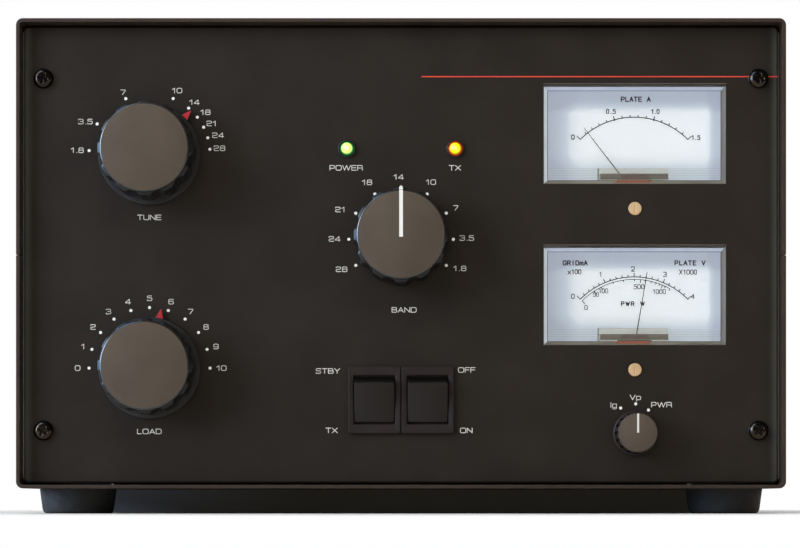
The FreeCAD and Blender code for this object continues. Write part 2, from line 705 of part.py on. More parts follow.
def rear_panel():
    """Rear plate with a slotted fan grille and holes for the sockets."""
    plate = rounded_block(around(0, PANEL_HALF_WIDTH), (REAR_INSIDE, REAR_FACE),
                          (PANEL_BOTTOM, PANEL_TOP), PANEL_CORNER_RADIUS)
    through = (REAR_INSIDE - 1, REAR_FACE + 1)
    holes = []
    for z in spread(FAN_Z, GRILLE_SLOT_PITCH, GRILLE_SLOTS):
        half = math.sqrt(GRILLE_RADIUS ** 2 - (z - FAN_Z) ** 2)
        holes.append(block(around(FAN_X, half), through, around(z, GRILLE_SLOT_HEIGHT / 2)))
    for rise in COAX_RISES:
        holes.append(rod(REAR_X, CASE_BOTTOM + rise, COAX_TAIL_RADIUS + BUSH_GAP, through))
    for x in spread(REAR_X, PHONO_PITCH, PHONO_COUNT):
        holes.append(rod(x, CASE_BOTTOM + PHONO_RISE, PHONO_TAIL_RADIUS + BUSH_GAP, through))
    holes.append(rod(REAR_X, CASE_BOTTOM + EARTH_RISE, EARTH_STUD_RADIUS + BUSH_GAP, through))
    holes.append(block(around(INLET_X, INLET_BODY_WIDTH / 2 + BUSH_GAP), through,
                       around(INLET_Z, INLET_BODY_HEIGHT / 2 + BUSH_GAP)))
    return plate.cut(holes)


def lamp(x, z):
    """Lamp with a two-step domed head."""
    profile = ((LED_RADIUS, -LED_STEM_LENGTH), (LED_RADIUS, LED_REACH - LED_RADIUS / 2),
               (LED_RADIUS / 2, LED_REACH))
    return faceted(Vector(x, PANEL_FRONT, z), Y_AXIS * -1, profile, LED_SIDES)


def led_bezels():
    """Two raised rings around the lamps."""
    made = []
    bore = LED_RADIUS + BUSH_GAP
    front = PANEL_FRONT - LED_BEZEL_HEIGHT
    for x, z in led_places():
        outline = ((bore, front), (LED_BEZEL_RADIUS, front), (LED_BEZEL_RADIUS, PANEL_FRONT),
                   (bore, PANEL_FRONT))
        made.append(turned_along_y(x, z, outline))
    return together(made)


# ---------------------------------------------------------------- knobs and drives

def lobed_outline(x, y, z, rim_radius):
    """Closed wire of a round grip with shallow finger scallops, in a plane across Y."""
    centre_radius = rim_radius + KNOB_SCALLOP_RADIUS - KNOB_SCALLOP_DEPTH
    reach = (rim_radius ** 2 + centre_radius ** 2 - KNOB_SCALLOP_RADIUS ** 2) / (2 * centre_radius)
    half = math.acos(reach / rim_radius)
    step = 2 * math.pi / KNOB_LOBES

    def place(radius, angle):
        return Vector(x + radius * math.sin(angle), y, z + radius * math.cos(angle))

    arcs = []
    for index in range(KNOB_LOBES):
        scallop = step * (index + 0.5)
        lobe = scallop + step / 2
        arcs.append(Part.Arc(place(rim_radius, scallop - half),
                             place(rim_radius - KNOB_SCALLOP_DEPTH, scallop),
                             place(rim_radius, scallop + half)).toShape())
        arcs.append(Part.Arc(place(rim_radius, scallop + half), place(rim_radius, lobe),
                             place(rim_radius, scallop + step - half)).toShape())
    return Part.Wire(arcs)


def lobed_grip(x, z, back):
    """Lobed knob grip standing forward from its back plane."""
    face = Part.Face(lobed_outline(x, back, z, KNOB_RADIUS))
    return upright(face.extrude(Vector(0, -KNOB_GRIP_HEIGHT, 0)))


def knob_cap(x, z, back, radius, thickness):
    """Flat disc cap."""
    return rod(x, z, radius, (back - thickness, back))


def geared_knob_back():
    """Back plane of a tuning knob, just in front of its pointer disc."""
    return PANEL_FRONT - POINTER_REACH - KNOB_BACK_GAP


def geared_knob(z):
    """Tuning knob moulded on the input shaft of its slow-motion drive."""
    back = geared_knob_back()
    shaft = rod(CAPACITOR_X, z, SHAFT_RADIUS, (back, PANEL_BACK + DRIVE_LENGTH - 2))
    return fused([lobed_grip(CAPACITOR_X, z, back), shaft])


def geared_knob_cap(z):
    """Cap on a tuning knob."""
    back = geared_knob_back() - KNOB_GRIP_HEIGHT
    return knob_cap(CAPACITOR_X, z, back, KNOB_CAP_RADIUS, KNOB_CAP_THICKNESS)


def pointer(z, angle):
    """Pointer disc on the sleeve that runs through the drive to the capacitor shaft."""
    front = PANEL_FRONT - POINTER_REACH
    face = (front, front + POINTER_THICKNESS)
    disc = rod(CAPACITOR_X, z, POINTER_DISC_RADIUS, face)
    root = POINTER_DISC_RADIUS * 0.9
    outline = ((CAPACITOR_X - POINTER_HALF_WIDTH, z + root),
               (CAPACITOR_X + POINTER_HALF_WIDTH, z + root),
               (CAPACITOR_X + POINTER_HALF_WIDTH, z + POINTER_BASE_RADIUS),
               (CAPACITOR_X, z + POINTER_TIP_RADIUS),
               (CAPACITOR_X - POINTER_HALF_WIDTH, z + POINTER_BASE_RADIUS))
    tongue = pushed_along_y(outline, face)
    tongue.rotate(Vector(CAPACITOR_X, 0, z), Y_AXIS, angle)
    sleeve = rod(CAPACITOR_X, z, DRIVE_SLEEVE_RADIUS,
                 (front, PANEL_BACK + DRIVE_LENGTH + COUPLING_LENGTH))
    bore = rod(CAPACITOR_X, z, SHAFT_BORE, (front - 1, PANEL_BACK + DRIVE_LENGTH - 1))
    return fused([disc, tongue, sleeve]).cut(bore)


def reduction_drives():
    """Fixed housings of the two slow-motion drives, on the back of the front panel."""
    made = []
    for z in (TUNE_Z, LOAD_Z):
        flange = block(around(CAPACITOR_X, DRIVE_FLANGE_HALF_SIZE),
                       (PANEL_BACK, PANEL_BACK + DRIVE_FLANGE_THICKNESS),
                       around(z, DRIVE_FLANGE_HALF_SIZE))
        drum = rod(CAPACITOR_X, z, DRIVE_RADIUS, (PANEL_BACK, PANEL_BACK + DRIVE_LENGTH))
        bore = rod(CAPACITOR_X, z, DRIVE_SLEEVE_RADIUS + RUNNING_GAP,
                   (PANEL_BACK - 1, PANEL_BACK + DRIVE_LENGTH + 1))
        made.append(fused([flange, drum]).cut(bore))
    return together(made)


def band_knob():
    """Band knob, without a pointer disc."""
    back = PANEL_FRONT - BAND_KNOB_GAP
    bore = rod(BAND_X, BAND_Z, SHAFT_RADIUS + SEAT_GAP, (back - SHAFT_GRIP, back + 1))
    return lobed_grip(BAND_X, BAND_Z, back).cut(bore)


def band_knob_cap():
    """Cap on the band knob."""
    back = PANEL_FRONT - BAND_KNOB_GAP - KNOB_GRIP_HEIGHT
    return knob_cap(BAND_X, BAND_Z, back, KNOB_CAP_RADIUS, KNOB_CAP_THICKNESS)


def meter_knob():
    """Small fluted knob of the meter switch with its shaft."""
    back = PANEL_FRONT - BAND_KNOB_GAP
    skirt = back - SMALL_KNOB_SKIRT_HEIGHT
    front = back - SMALL_KNOB_HEIGHT
    body = turned_along_y(METER_X, METER_SWITCH_Z, (
        (0, back), (SMALL_KNOB_SKIRT_RADIUS, back), (SMALL_KNOB_SKIRT_RADIUS, skirt),
        (SMALL_KNOB_RADIUS, skirt), (SMALL_KNOB_RADIUS, front), (0, front)))
    grooves = []
    for index in range(SMALL_KNOB_FLUTES):
        angle = math.radians(360 / SMALL_KNOB_FLUTES * index)
        x = METER_X + SMALL_KNOB_RADIUS * math.sin(angle)
        z = METER_SWITCH_Z + SMALL_KNOB_RADIUS * math.cos(angle)
        corner = SMALL_KNOB_FLUTE_RADIUS
        outline = [(x + corner * math.sin(angle + turn), z + corner * math.cos(angle + turn))
                   for turn in (0, math.pi / 2, math.pi, 3 * math.pi / 2)]
        grooves.append(pushed_along_y(outline, (front - 1, skirt - 1)))
    shaft = rod(METER_X, METER_SWITCH_Z, SHAFT_RADIUS,
                (skirt, PANEL_BACK + METER_SWITCH_DEPTH - 2))
    return fused([body.cut(grooves), shaft])


def meter_knob_cap():
    """Cap on the meter knob."""
    back = PANEL_FRONT - BAND_KNOB_GAP - SMALL_KNOB_HEIGHT
    return knob_cap(METER_X, METER_SWITCH_Z, back, SMALL_KNOB_CAP_RADIUS,
                    SMALL_KNOB_CAP_THICKNESS)


def meter_switch():
    """Body and bush of the three-way meter switch."""
    bush = rod(METER_X, METER_SWITCH_Z, BUSH_RADIUS, (PANEL_FRONT, PANEL_BACK + 1))
    body = block(around(METER_X, METER_SWITCH_HALF_SIZE),
                 (PANEL_BACK, PANEL_BACK + METER_SWITCH_DEPTH),
                 around(METER_SWITCH_Z, METER_SWITCH_HALF_SIZE))
    bore = rod(METER_X, METER_SWITCH_Z, SHAFT_BORE,
               (PANEL_FRONT - 1, PANEL_BACK + METER_SWITCH_DEPTH - 1))
    return fused([bush, body]).cut(bore)


def wafer_fronts():
    """Front faces of the band switch's wafers."""
    return [PANEL_BACK + BAND_WAFER_PITCH * (index + 1) for index in range(BAND_WAFERS)]


def band_switch():
    """Fixed frame of the band switch: bush, detent box and wafers on two bars."""
    last = wafer_fronts()[-1] + BAND_PLATE_THICKNESS
    pieces = [rod(BAND_X, BAND_Z, BUSH_RADIUS, (PANEL_FRONT, PANEL_BACK + 1)),
              block(around(BAND_X, BAND_DETENT_HALF_SIZE),
                    (PANEL_BACK, PANEL_BACK + BAND_DETENT_LENGTH),
                    around(BAND_Z, BAND_DETENT_HALF_SIZE))]
    for front in [PANEL_BACK] + wafer_fronts():
        pieces.append(block(around(BAND_X, BAND_PLATE_HALF_WIDTH),
                            (front, front + BAND_PLATE_THICKNESS),
                            around(BAND_Z, BAND_PLATE_HALF_HEIGHT)))
    for side in (-1, 1):
        pieces.append(block(around(BAND_X + side * BAND_BAR_HALF_SPACING, BAND_BAR_HALF_SIZE),
                            (PANEL_BACK, last), around(BAND_Z, BAND_BAR_HALF_SIZE)))
    cutters = [rod(BAND_X, BAND_Z, SHAFT_BORE,
                   (PANEL_FRONT - 1, PANEL_BACK + BAND_DETENT_LENGTH + 1))]
    for front in wafer_fronts():
        cutters.append(rod(BAND_X, BAND_Z, BAND_ROTOR_RADIUS + TOUCH_GAP,
                           (front - 1, front + BAND_PLATE_THICKNESS + 1)))
    return fused(pieces).cut(cutters)


def band_rotor():
    """Band switch shaft with a contact disc in each wafer."""
    front = PANEL_FRONT - BAND_KNOB_GAP - SHAFT_GRIP
    back = wafer_fronts()[-1] + 2 * BAND_PLATE_THICKNESS
    pieces = [rod(BAND_X, BAND_Z, SHAFT_RADIUS, (front, back))]
    for y in wafer_fronts():
        pieces.append(rod(BAND_X, BAND_Z, BAND_ROTOR_RADIUS, (y, y + BAND_PLATE_THICKNESS)))
    return fused(pieces)


# ---------------------------------------------------------------- rocker switches

def rocker_switch(x, z):
    """Bezel and body of a rocker switch with its pocket, pivot holes and tags."""
    bezel = rounded_block(around(x, ROCKER_BEZEL_WIDTH / 2),
                          (PANEL_FRONT - ROCKER_BEZEL_PROUD, PANEL_FRONT),
                          around(z, ROCKER_BEZEL_HEIGHT / 2), BUSH_GAP * 8)
    back = PANEL_FRONT + ROCKER_BODY_DEPTH
    body = block(around(x, ROCKER_BODY_WIDTH / 2), (PANEL_FRONT, back),
                 around(z, ROCKER_BODY_HEIGHT / 2))
    tags = []
    for side in (-1, 1):
        height = z + side * ROCKER_BODY_HEIGHT / 4
        tags.append(block(around(x, BLADE_WIDTH / 2), (back, back + BLADE_LENGTH),
                          around(height, BLADE_THICKNESS / 2)))
    pocket = block(around(x, ROCKER_OPENING_WIDTH / 2),
                   (PANEL_FRONT - ROCKER_BEZEL_PROUD - 1, PANEL_FRONT + ROCKER_POCKET_DEPTH),
                   around(z, ROCKER_OPENING_HEIGHT / 2))
    pivot = Part.makeCylinder(ROCKER_PIN_RADIUS + RUNNING_GAP, ROCKER_BODY_WIDTH,
                              Vector(x - ROCKER_BODY_WIDTH / 2, PANEL_FRONT + ROCKER_PIVOT_DEPTH, z),
                              X_AXIS)
    return fused([bezel, body] + tags).cut([pocket, pivot])


def rocker(x, z):
    """Rocker with a flat face and ends curved about the pivot, its lower end pressed in."""
    half = ROCKER_OPENING_WIDTH / 2 - TOUCH_GAP
    radius = ROCKER_OPENING_HEIGHT / 2 - TOUCH_GAP
    pivot_y = PANEL_FRONT + ROCKER_PIVOT_DEPTH
    drum = Part.makeCylinder(radius, 2 * half, Vector(x - half, pivot_y, z), X_AXIS)
    kept = block(around(x, 2 * half), (pivot_y - ROCKER_FACE_RISE, pivot_y + ROCKER_BACK),
                 around(z, 2 * radius))
    pin_half = half + (ROCKER_BODY_WIDTH - ROCKER_OPENING_WIDTH) / 2
    pin = Part.makeCylinder(ROCKER_PIN_RADIUS, 2 * pin_half, Vector(x - pin_half, pivot_y, z), X_AXIS)
    paddle = fused([drum.common(kept), pin])
    paddle.rotate(Vector(x, pivot_y, z), X_AXIS, ROCKER_TILT)
    return paddle


# ---------------------------------------------------------------- meters

def meter_case(middle):
    """Meter housing behind the panel: window pocket and movement bay."""
    bottom = middle - METER_CASE_LOWER
    half = METER_WINDOW_WIDTH / 2
    back = PANEL_BACK + METER_CASE_DEPTH
    pivot = middle - METER_PIVOT_DROP
    tray = block(around(METER_X, half + METER_CASE_MARGIN), (PANEL_BACK, back),
                 (bottom, middle + METER_WINDOW_HEIGHT / 2 + METER_CASE_MARGIN))
    pocket = block(around(METER_X, half), (PANEL_BACK - 1, PANEL_FRONT + DIAL_DEPTH + DIAL_THICKNESS),
                   around(middle, METER_WINDOW_HEIGHT / 2))
    bay = block(around(METER_X, YOKE_HALF_WIDTH + TOUCH_GAP),
                (PANEL_BACK + METER_FRONT_WALL, back - METER_FRONT_WALL),
                (pivot - YOKE_BOTTOM, pivot + YOKE_TOP + TOUCH_GAP))
    hole = rod(METER_X, middle - ZERO_SCREW_DROP, ZERO_SCREW_RADIUS + RUNNING_GAP,
               (PANEL_BACK - 1, PANEL_BACK + METER_FRONT_WALL + 1))
    return tray.cut([pocket, bay, hole])


def meter_window(middle):
    """Clear moulded cover: front pane and four walls back to the dial, notched for the movement."""
    half_width = METER_WINDOW_WIDTH / 2 - METER_COVER_GAP
    half_height = METER_WINDOW_HEIGHT / 2 - METER_COVER_GAP
    front = PANEL_FRONT + METER_COVER_RECESS
    back = PANEL_FRONT + DIAL_DEPTH
    outside = rounded_block(around(METER_X, half_width), (front, back),
                            around(middle, half_height), METER_COVER_WALL / 2)
    inside = block(around(METER_X, half_width - METER_COVER_WALL), (front + METER_COVER_WALL, back + 1),
                   around(middle, half_height - METER_COVER_WALL))
    notch = block(around(METER_X, YOKE_HALF_WIDTH + 2 * TOUCH_GAP),
                  (PANEL_BACK + METER_FRONT_WALL, back + 1),
                  (middle - METER_WINDOW_HEIGHT, middle - METER_WINDOW_HEIGHT / 4))
    return outside.cut([inside, notch])


def meter_dial(middle):
    """White scale plate with a notch over the movement."""
    front = PANEL_FRONT + DIAL_DEPTH
    plate = block(around(METER_X, METER_WINDOW_WIDTH / 2), (front, front + DIAL_THICKNESS),
                  around(middle, METER_WINDOW_HEIGHT / 2))
    top = middle - METER_PIVOT_DROP + YOKE_TOP + TOUCH_GAP
    notch = block(around(METER_X, YOKE_HALF_WIDTH + TOUCH_GAP), (front - 1, front + 2 * DIAL_THICKNESS),
                  (middle - METER_WINDOW_HEIGHT, top))
    return plate.cut(notch)


def yoke_span():
    """Front and back of the magnet yoke."""
    front = PANEL_FRONT + YOKE_FRONT
    return (front, front + YOKE_LENGTH)


def bridge_reach():
    """Outer face of each bearing bridge beyond the yoke: (front, back)."""
    back = TOUCH_GAP + COIL_WALL + BRIDGE_GAP + BRIDGE_THICKNESS
    return (back + NEEDLE_THICKNESS, back)


def meter_movement(middle):
    """Magnet yoke with open-topped bore, soft-iron core and the two bearing bridges."""
    pivot = middle - METER_PIVOT_DROP
    front, back = yoke_span()
    yoke = block(around(METER_X, YOKE_HALF_WIDTH), (front, back),
                 (pivot - YOKE_BOTTOM, pivot + YOKE_TOP))
    bore = rod(METER_X, pivot, YOKE_BORE_RADIUS, (front - 1, back + 1))
    mouth = block(around(METER_X, YOKE_SLOT_HALF_WIDTH), (front - 1, back + 1),
                  (pivot, pivot + 2 * YOKE_TOP))
    core = rod(METER_X, pivot, CORE_RADIUS, (front, back))
    web = block(around(METER_X, CORE_WEB_HALF_WIDTH), (front, back),
                (pivot - YOKE_BORE_RADIUS - 1, pivot - CORE_RADIUS + 1))
    pieces = [yoke.cut([bore, mouth]), core, web]
    for face, outward, reach in zip((front, back), (-1, 1), bridge_reach()):
        outer = face + outward * reach
        inner = outer - outward * BRIDGE_THICKNESS
        strap = around(pivot, BRIDGE_HALF_HEIGHT)
        pieces.append(block(around(METER_X, BRIDGE_HALF_WIDTH), sorted((outer, inner)), strap))
        for side in (-1, 1):
            leg = METER_X + side * (BRIDGE_HALF_WIDTH - BRIDGE_LEG / 2)
            pieces.append(block(around(leg, BRIDGE_LEG / 2), sorted((face, outer)), strap))
    return fused(pieces)


def meter_needle(middle, angle):
    """Moving coil, pivots, pointer and counterweight, turned to its reading."""
    pivot = middle - METER_PIVOT_DROP
    front, back = yoke_span()
    coil_front = front - TOUCH_GAP - COIL_WALL
    coil_back = back + TOUCH_GAP + COIL_WALL
    loop = block(around(METER_X, COIL_HALF_WIDTH), (coil_front, coil_back),
                 around(pivot, COIL_HALF_THICKNESS))
    opening = block(around(METER_X, COIL_HALF_WIDTH - COIL_WALL), (front - TOUCH_GAP, back + TOUCH_GAP),
                    around(pivot, 2 * COIL_HALF_THICKNESS))
    arm_span = (coil_front - NEEDLE_THICKNESS, coil_front)
    tip_half = NEEDLE_WIDTH / 4
    arm = pushed_along_y(((METER_X - NEEDLE_WIDTH, pivot - NEEDLE_TAIL),
                          (METER_X + NEEDLE_WIDTH, pivot - NEEDLE_TAIL),
                          (METER_X + tip_half, pivot + NEEDLE_LENGTH),
                          (METER_X - tip_half, pivot + NEEDLE_LENGTH)), arm_span)
    weight = block(around(METER_X, NEEDLE_TAIL_WEIGHT / 2), arm_span,
                   around(pivot - NEEDLE_TAIL, NEEDLE_TAIL_WEIGHT / 2))
    pivot_reach = BRIDGE_GAP - RUNNING_GAP
    front_pivot = rod(METER_X, pivot, PIVOT_RADIUS, (arm_span[0] - pivot_reach, arm_span[1]))
    back_pivot = rod(METER_X, pivot, PIVOT_RADIUS, (coil_back, coil_back + pivot_reach))
    moving = fused([loop.cut(opening), arm, weight, front_pivot, back_pivot])
    moving.rotate(Vector(METER_X, 0, pivot), Y_AXIS, angle)
    return moving


def zero_screw(middle):
    """Slotted zero adjuster below the window."""
    z = middle - ZERO_SCREW_DROP
    front = PANEL_FRONT - ZERO_SCREW_PROUD
    body = rod(METER_X, z, ZERO_SCREW_RADIUS, (front, PANEL_BACK + METER_FRONT_WALL))
    groove = block(around(METER_X, ZERO_SLOT_WIDTH / 2), (front - 1, front + ZERO_SLOT_DEPTH),
                   around(z, 2 * ZERO_SCREW_RADIUS))
    return body.cut(groove)


# ---------------------------------------------------------------- radio side

def capacitor_stator(z, foot):
    """Frame of a variable capacitor with its stack of fixed vanes on two lower bars."""
    side = CAPACITOR_HALF_SIZE
    inner = (CAPACITOR_FRONT + CAPACITOR_PLATE, CAPACITOR_BACK - CAPACITOR_PLATE)
    bar = side - TIE_BAR_INSET
    pieces = []
    for front in (CAPACITOR_FRONT, inner[1]):
        pieces.append(block(around(CAPACITOR_X, side), (front, front + CAPACITOR_PLATE),
                            (foot, z + side)))
    for across in (-1, 1):
        for up in (-1, 1):
            pieces.append(block(around(CAPACITOR_X + across * bar, TIE_BAR_HALF_SIZE), inner,
                                around(z + up * bar, TIE_BAR_HALF_SIZE)))
    notch = block(around(CAPACITOR_X, VANE_NOTCH_HALF_WIDTH), inner,
                  (z - VANE_NOTCH_HALF_WIDTH, z))
    for index in range(FIXED_VANES):
        front = FIRST_VANE + index * VANE_PITCH
        vane = block(around(CAPACITOR_X, bar), (front, front + VANE_THICKNESS),
                     (z - bar, z - STATOR_TOP_DROP))
        pieces.append(vane.cut(notch))
    bearing = rod(CAPACITOR_X, z, CAPACITOR_SHAFT_RADIUS + RUNNING_GAP,
                  (CAPACITOR_FRONT - 1, CAPACITOR_BACK + 1))
    return fused(pieces).cut(bearing)


def capacitor_rotor(z, pointer_angle):
    """Shaft and half-round vanes: fully meshed when the pointer is at nine o'clock."""
    shaft = rod(CAPACITOR_X, z, CAPACITOR_SHAFT_RADIUS,
                (PANEL_BACK + DRIVE_LENGTH + COUPLING_LENGTH, CAPACITOR_BACK))
    start = FIRST_VANE + VANE_PITCH / 2
    rim = regular(CAPACITOR_X, z, VANE_RADIUS, VANE_SIDES)
    half = [(x, height) for x, height in rim if height <= z + SEAT_GAP]
    pieces = [shaft]
    for index in range(FIXED_VANES - 1):
        front = start + index * VANE_PITCH
        pieces.append(pushed_along_y(half, (front, front + VANE_THICKNESS)))
    rotor = fused(pieces)
    rotor.rotate(Vector(CAPACITOR_X, 0, z), Y_AXIS, pointer_angle + 90)
    return rotor


def tank_coil():
    """Wide copper strap coil between two insulating cheeks fixed to the partition."""
    z = CASE_BOTTOM + COIL_RISE
    path = []
    for index in range(TANK_TURNS * TANK_SIDES + 1):
        angle = 2 * math.pi * index / TANK_SIDES
        path.append(Vector(COIL_X + TANK_RADIUS * math.sin(angle),
                           COIL_FRONT + STRAP_WIDTH / 2 + TANK_PITCH * index / TANK_SIDES,
                           z + TANK_RADIUS * math.cos(angle)))
    out = Vector(0, 0, STRAP_THICKNESS / 2)
    along = Vector(0, STRAP_WIDTH / 2, 0)
    section = [path[0] - out - along, path[0] + out - along, path[0] + out + along,
               path[0] - out + along]
    profile = Part.makePolygon(section + section[:1])
    strap = upright(Part.makePolygon(path).makePipeShell([profile], True, False, 1))
    back = COIL_FRONT + TANK_TURNS * TANK_PITCH + STRAP_WIDTH
    made = [strap]
    for front in (COIL_FRONT - CHEEK_THICKNESS, back):
        made.append(block((COIL_X - CHEEK_LEFT, PARTITION_X), (front, front + CHEEK_THICKNESS),
                          around(z, CHEEK_HALF_HEIGHT)))
    return together(made)


def valve_foot():
    """Height at which the valves' bases sit in their sockets."""
    return FLOOR_TOP + SOCKET_HEIGHT


def valves():
    """Two glass transmitting valves: moulded base and a bulb with a domed shoulder."""
    bulb = VALVE_BASE_HEIGHT + VALVE_GLASS_HEIGHT
    profile = ((VALVE_BASE_RADIUS, 0), (VALVE_BASE_RADIUS, VALVE_BASE_HEIGHT),
               (VALVE_RADIUS, VALVE_BASE_HEIGHT + VALVE_SHOULDER / 2),
               (VALVE_RADIUS, bulb - VALVE_SHOULDER),
               (VALVE_RADIUS * 0.8, bulb - VALVE_SHOULDER / 3), (VALVE_NECK_RADIUS, bulb))
    return together([faceted(Vector(x, y, valve_foot()), Z_AXIS, profile, VALVE_SIDES)
                     for x, y in VALVE_SPOTS])


def valve_fittings():
    """Ceramic sockets on the chassis and finned coolers on the anode caps."""
    made = []
    profile = []
    for index in range(COOLER_FINS):
        low = index * COOLER_FIN_PITCH
        high = low + COOLER_FIN_THICKNESS
        profile += [(COOLER_RADIUS, low), (COOLER_RADIUS, high),
                    (COOLER_HUB_RADIUS, high), (COOLER_HUB_RADIUS, low + COOLER_FIN_PITCH)]
    top = valve_foot() + VALVE_BASE_HEIGHT + VALVE_GLASS_HEIGHT
    for x, y in VALVE_SPOTS:
        socket = block(around(x, SOCKET_HALF_SIZE), around(y, SOCKET_HALF_SIZE),
                       (FLOOR_TOP, valve_foot()))
        made.append(socket.makeChamfer(SOCKET_CORNER, edges_along(socket, Z_AXIS)))
        made.append(faceted(Vector(x, y, top), Z_AXIS, profile, COOLER_SIDES))
    return together(made)


def plate_choke():
    """Upright winding on a square foot."""
    x, y = CHOKE_SPOT
    foot = block(around(x, CHOKE_BASE_HALF_SIZE), around(y, CHOKE_BASE_HALF_SIZE),
                 (FLOOR_TOP, FLOOR_TOP + CHOKE_BASE_HEIGHT))
    winding = faceted(Vector(x, y, FLOOR_TOP), Z_AXIS,
                      ((CHOKE_RADIUS, 0), (CHOKE_RADIUS, CHOKE_HEIGHT)), CHOKE_SIDES)
    return fused([foot, winding])


def relay():
    """Aerial change-over relay on the chassis."""
    x, y = RELAY_SPOT
    return block(around(x, RELAY_SIZE[0] / 2), around(y, RELAY_SIZE[1] / 2),
                 (FLOOR_TOP, FLOOR_TOP + RELAY_SIZE[2]))


# ---------------------------------------------------------------- power side

def transformer():
    """Laminated three-limb core with its windings on the centre limb."""
    x, y = TRANSFORMER_SPOT
    window = (CORE_WIDTH - CENTRE_LIMB_WIDTH - 2 * LIMB_WIDTH) / 2
    low = FLOOR_TOP + LIMB_WIDTH
    high = FLOOR_TOP + CORE_HEIGHT - LIMB_WIDTH
    stack = around(y, CORE_STACK / 2)
    core = block(around(x, CORE_WIDTH / 2), stack, (FLOOR_TOP, FLOOR_TOP + CORE_HEIGHT))
    windows = []
    for side in (-1, 1):
        middle = x + side * (CENTRE_LIMB_WIDTH + window) / 2
        windows.append(block(around(middle, window / 2), around(y, CORE_STACK), (low, high)))
    coil = rounded_block(around(x, CENTRE_LIMB_WIDTH / 2 + window),
                         around(y, CORE_STACK / 2 + WINDING_OVERHANG), (low, high),
                         WINDING_OVERHANG / 2, Z_AXIS)
    limb = block(around(x, CENTRE_LIMB_WIDTH / 2), stack, (low, high))
    outer = block(around(x, CORE_WIDTH), stack, (low, high)).cut(
        block(around(x, CENTRE_LIMB_WIDTH / 2 + window), around(y, CORE_STACK), (low, high)))
    return together([core.cut(windows), coil.cut([limb, outer])])


def smoothing_bank():
    """Board of reservoir capacitors on spacers."""
    x = METER_X
    bottom = FLOOR_TOP + BOARD_LIFT
    top = bottom + BOARD_THICKNESS
    pieces = [block(around(x, BOARD_WIDTH / 2), (BOARD_FRONT, BOARD_FRONT + BOARD_DEPTH),
                    (bottom, top))]
    for across in (-1, 1):
        spacer_x = x + across * (BOARD_WIDTH / 2 - SPACER_INSET)
        for y in (BOARD_FRONT + SPACER_INSET, BOARD_FRONT + BOARD_DEPTH - SPACER_INSET):
            pieces.append(block(around(spacer_x, SPACER_HALF_SIZE), around(y, SPACER_HALF_SIZE),
                                (FLOOR_TOP, bottom)))
        for y in spread(BOARD_FRONT + BOARD_DEPTH / 2, BOARD_DEPTH / 2, 2):
            pieces.append(faceted(Vector(x + across * BOARD_WIDTH / 4, y, top), Z_AXIS,
                                  ((CAN_RADIUS, 0), (CAN_RADIUS, CAN_HEIGHT)), CAN_SIDES))
    return fused(pieces)


# ---------------------------------------------------------------- rear fittings

def fan_frame():
    """Square fan housing on the rear panel with a motor plate on four struts."""
    back = REAR_INSIDE
    front = back - FAN_DEPTH
    housing = block(around(FAN_X, FAN_SIZE / 2), (front, back), around(FAN_Z, FAN_SIZE / 2))
    ring = housing.cut(rod(FAN_X, FAN_Z, FAN_BORE_RADIUS, (front - 1, back + 1)))
    pieces = [ring, rod(FAN_X, FAN_Z, FAN_HUB_RADIUS, (front, front + FAN_PLATE))]
    reach = FAN_BORE_RADIUS + 1
    pieces.append(block(around(FAN_X, reach), (front, front + FAN_PLATE),
                        around(FAN_Z, FAN_STRUT_WIDTH / 2)))
    pieces.append(block(around(FAN_X, FAN_STRUT_WIDTH / 2), (front, front + FAN_PLATE),
                        around(FAN_Z, reach)))
    bearing = rod(FAN_X, FAN_Z, FAN_SPINDLE_RADIUS + RUNNING_GAP, (front - 1, front + FAN_PLATE + 1))
    return fused(pieces).cut(bearing)


def fan_rotor():
    """Hub with inclined blades on a short spindle."""
    front = REAR_INSIDE - FAN_DEPTH
    hub_front = front + FAN_PLATE + TOUCH_GAP
    hub_back = REAR_INSIDE - 2 * TOUCH_GAP
    middle = (hub_front + hub_back) / 2
    envelope = rod(FAN_X, FAN_Z, FAN_TIP_RADIUS, (hub_front, hub_back))
    pieces = [rod(FAN_X, FAN_Z, FAN_HUB_RADIUS, (hub_front, hub_back)),
              rod(FAN_X, FAN_Z, FAN_SPINDLE_RADIUS, (front + TOUCH_GAP, hub_front + 1))]
    for index in range(FAN_BLADES):
        blade = block(around(FAN_X, FAN_BLADE_CHORD / 2), around(middle, FAN_BLADE_THICKNESS / 2),
                      (FAN_Z + FAN_HUB_RADIUS - 2, FAN_Z + FAN_TIP_RADIUS + FAN_BLADE_CHORD))
        blade.rotate(Vector(FAN_X, middle, FAN_Z), Z_AXIS, FAN_BLADE_PITCH)
        blade.rotate(Vector(FAN_X, middle, FAN_Z), Y_AXIS, 360 / FAN_BLADES * index)
        pieces.append(blade.common(envelope))
    return fused(pieces)


def coax_sockets():
    """Aerial and drive sockets: square flange, threaded barrel and contact hole."""
    made = []
    for rise in COAX_RISES:
        z = CASE_BOTTOM + rise
        flange_back = REAR_FACE + COAX_FLANGE_THICKNESS
        tip = flange_back + COAX_BARREL_LENGTH
        flange = block(around(REAR_X, COAX_FLANGE / 2), (REAR_FACE, flange_back),
                       around(z, COAX_FLANGE / 2))
        barrel = rod(REAR_X, z, COAX_THREAD_RADIUS, (flange_back, tip))
        tail = rod(REAR_X, z, COAX_TAIL_RADIUS, (REAR_INSIDE - COAX_TAIL_LENGTH, REAR_FACE))
        contact = rod(REAR_X, z, COAX_CONTACT_RADIUS, (tip - COAX_CONTACT_DEPTH, tip + 1))
        made.append(fused([flange, barrel, tail]).cut(contact))
    return together(made)


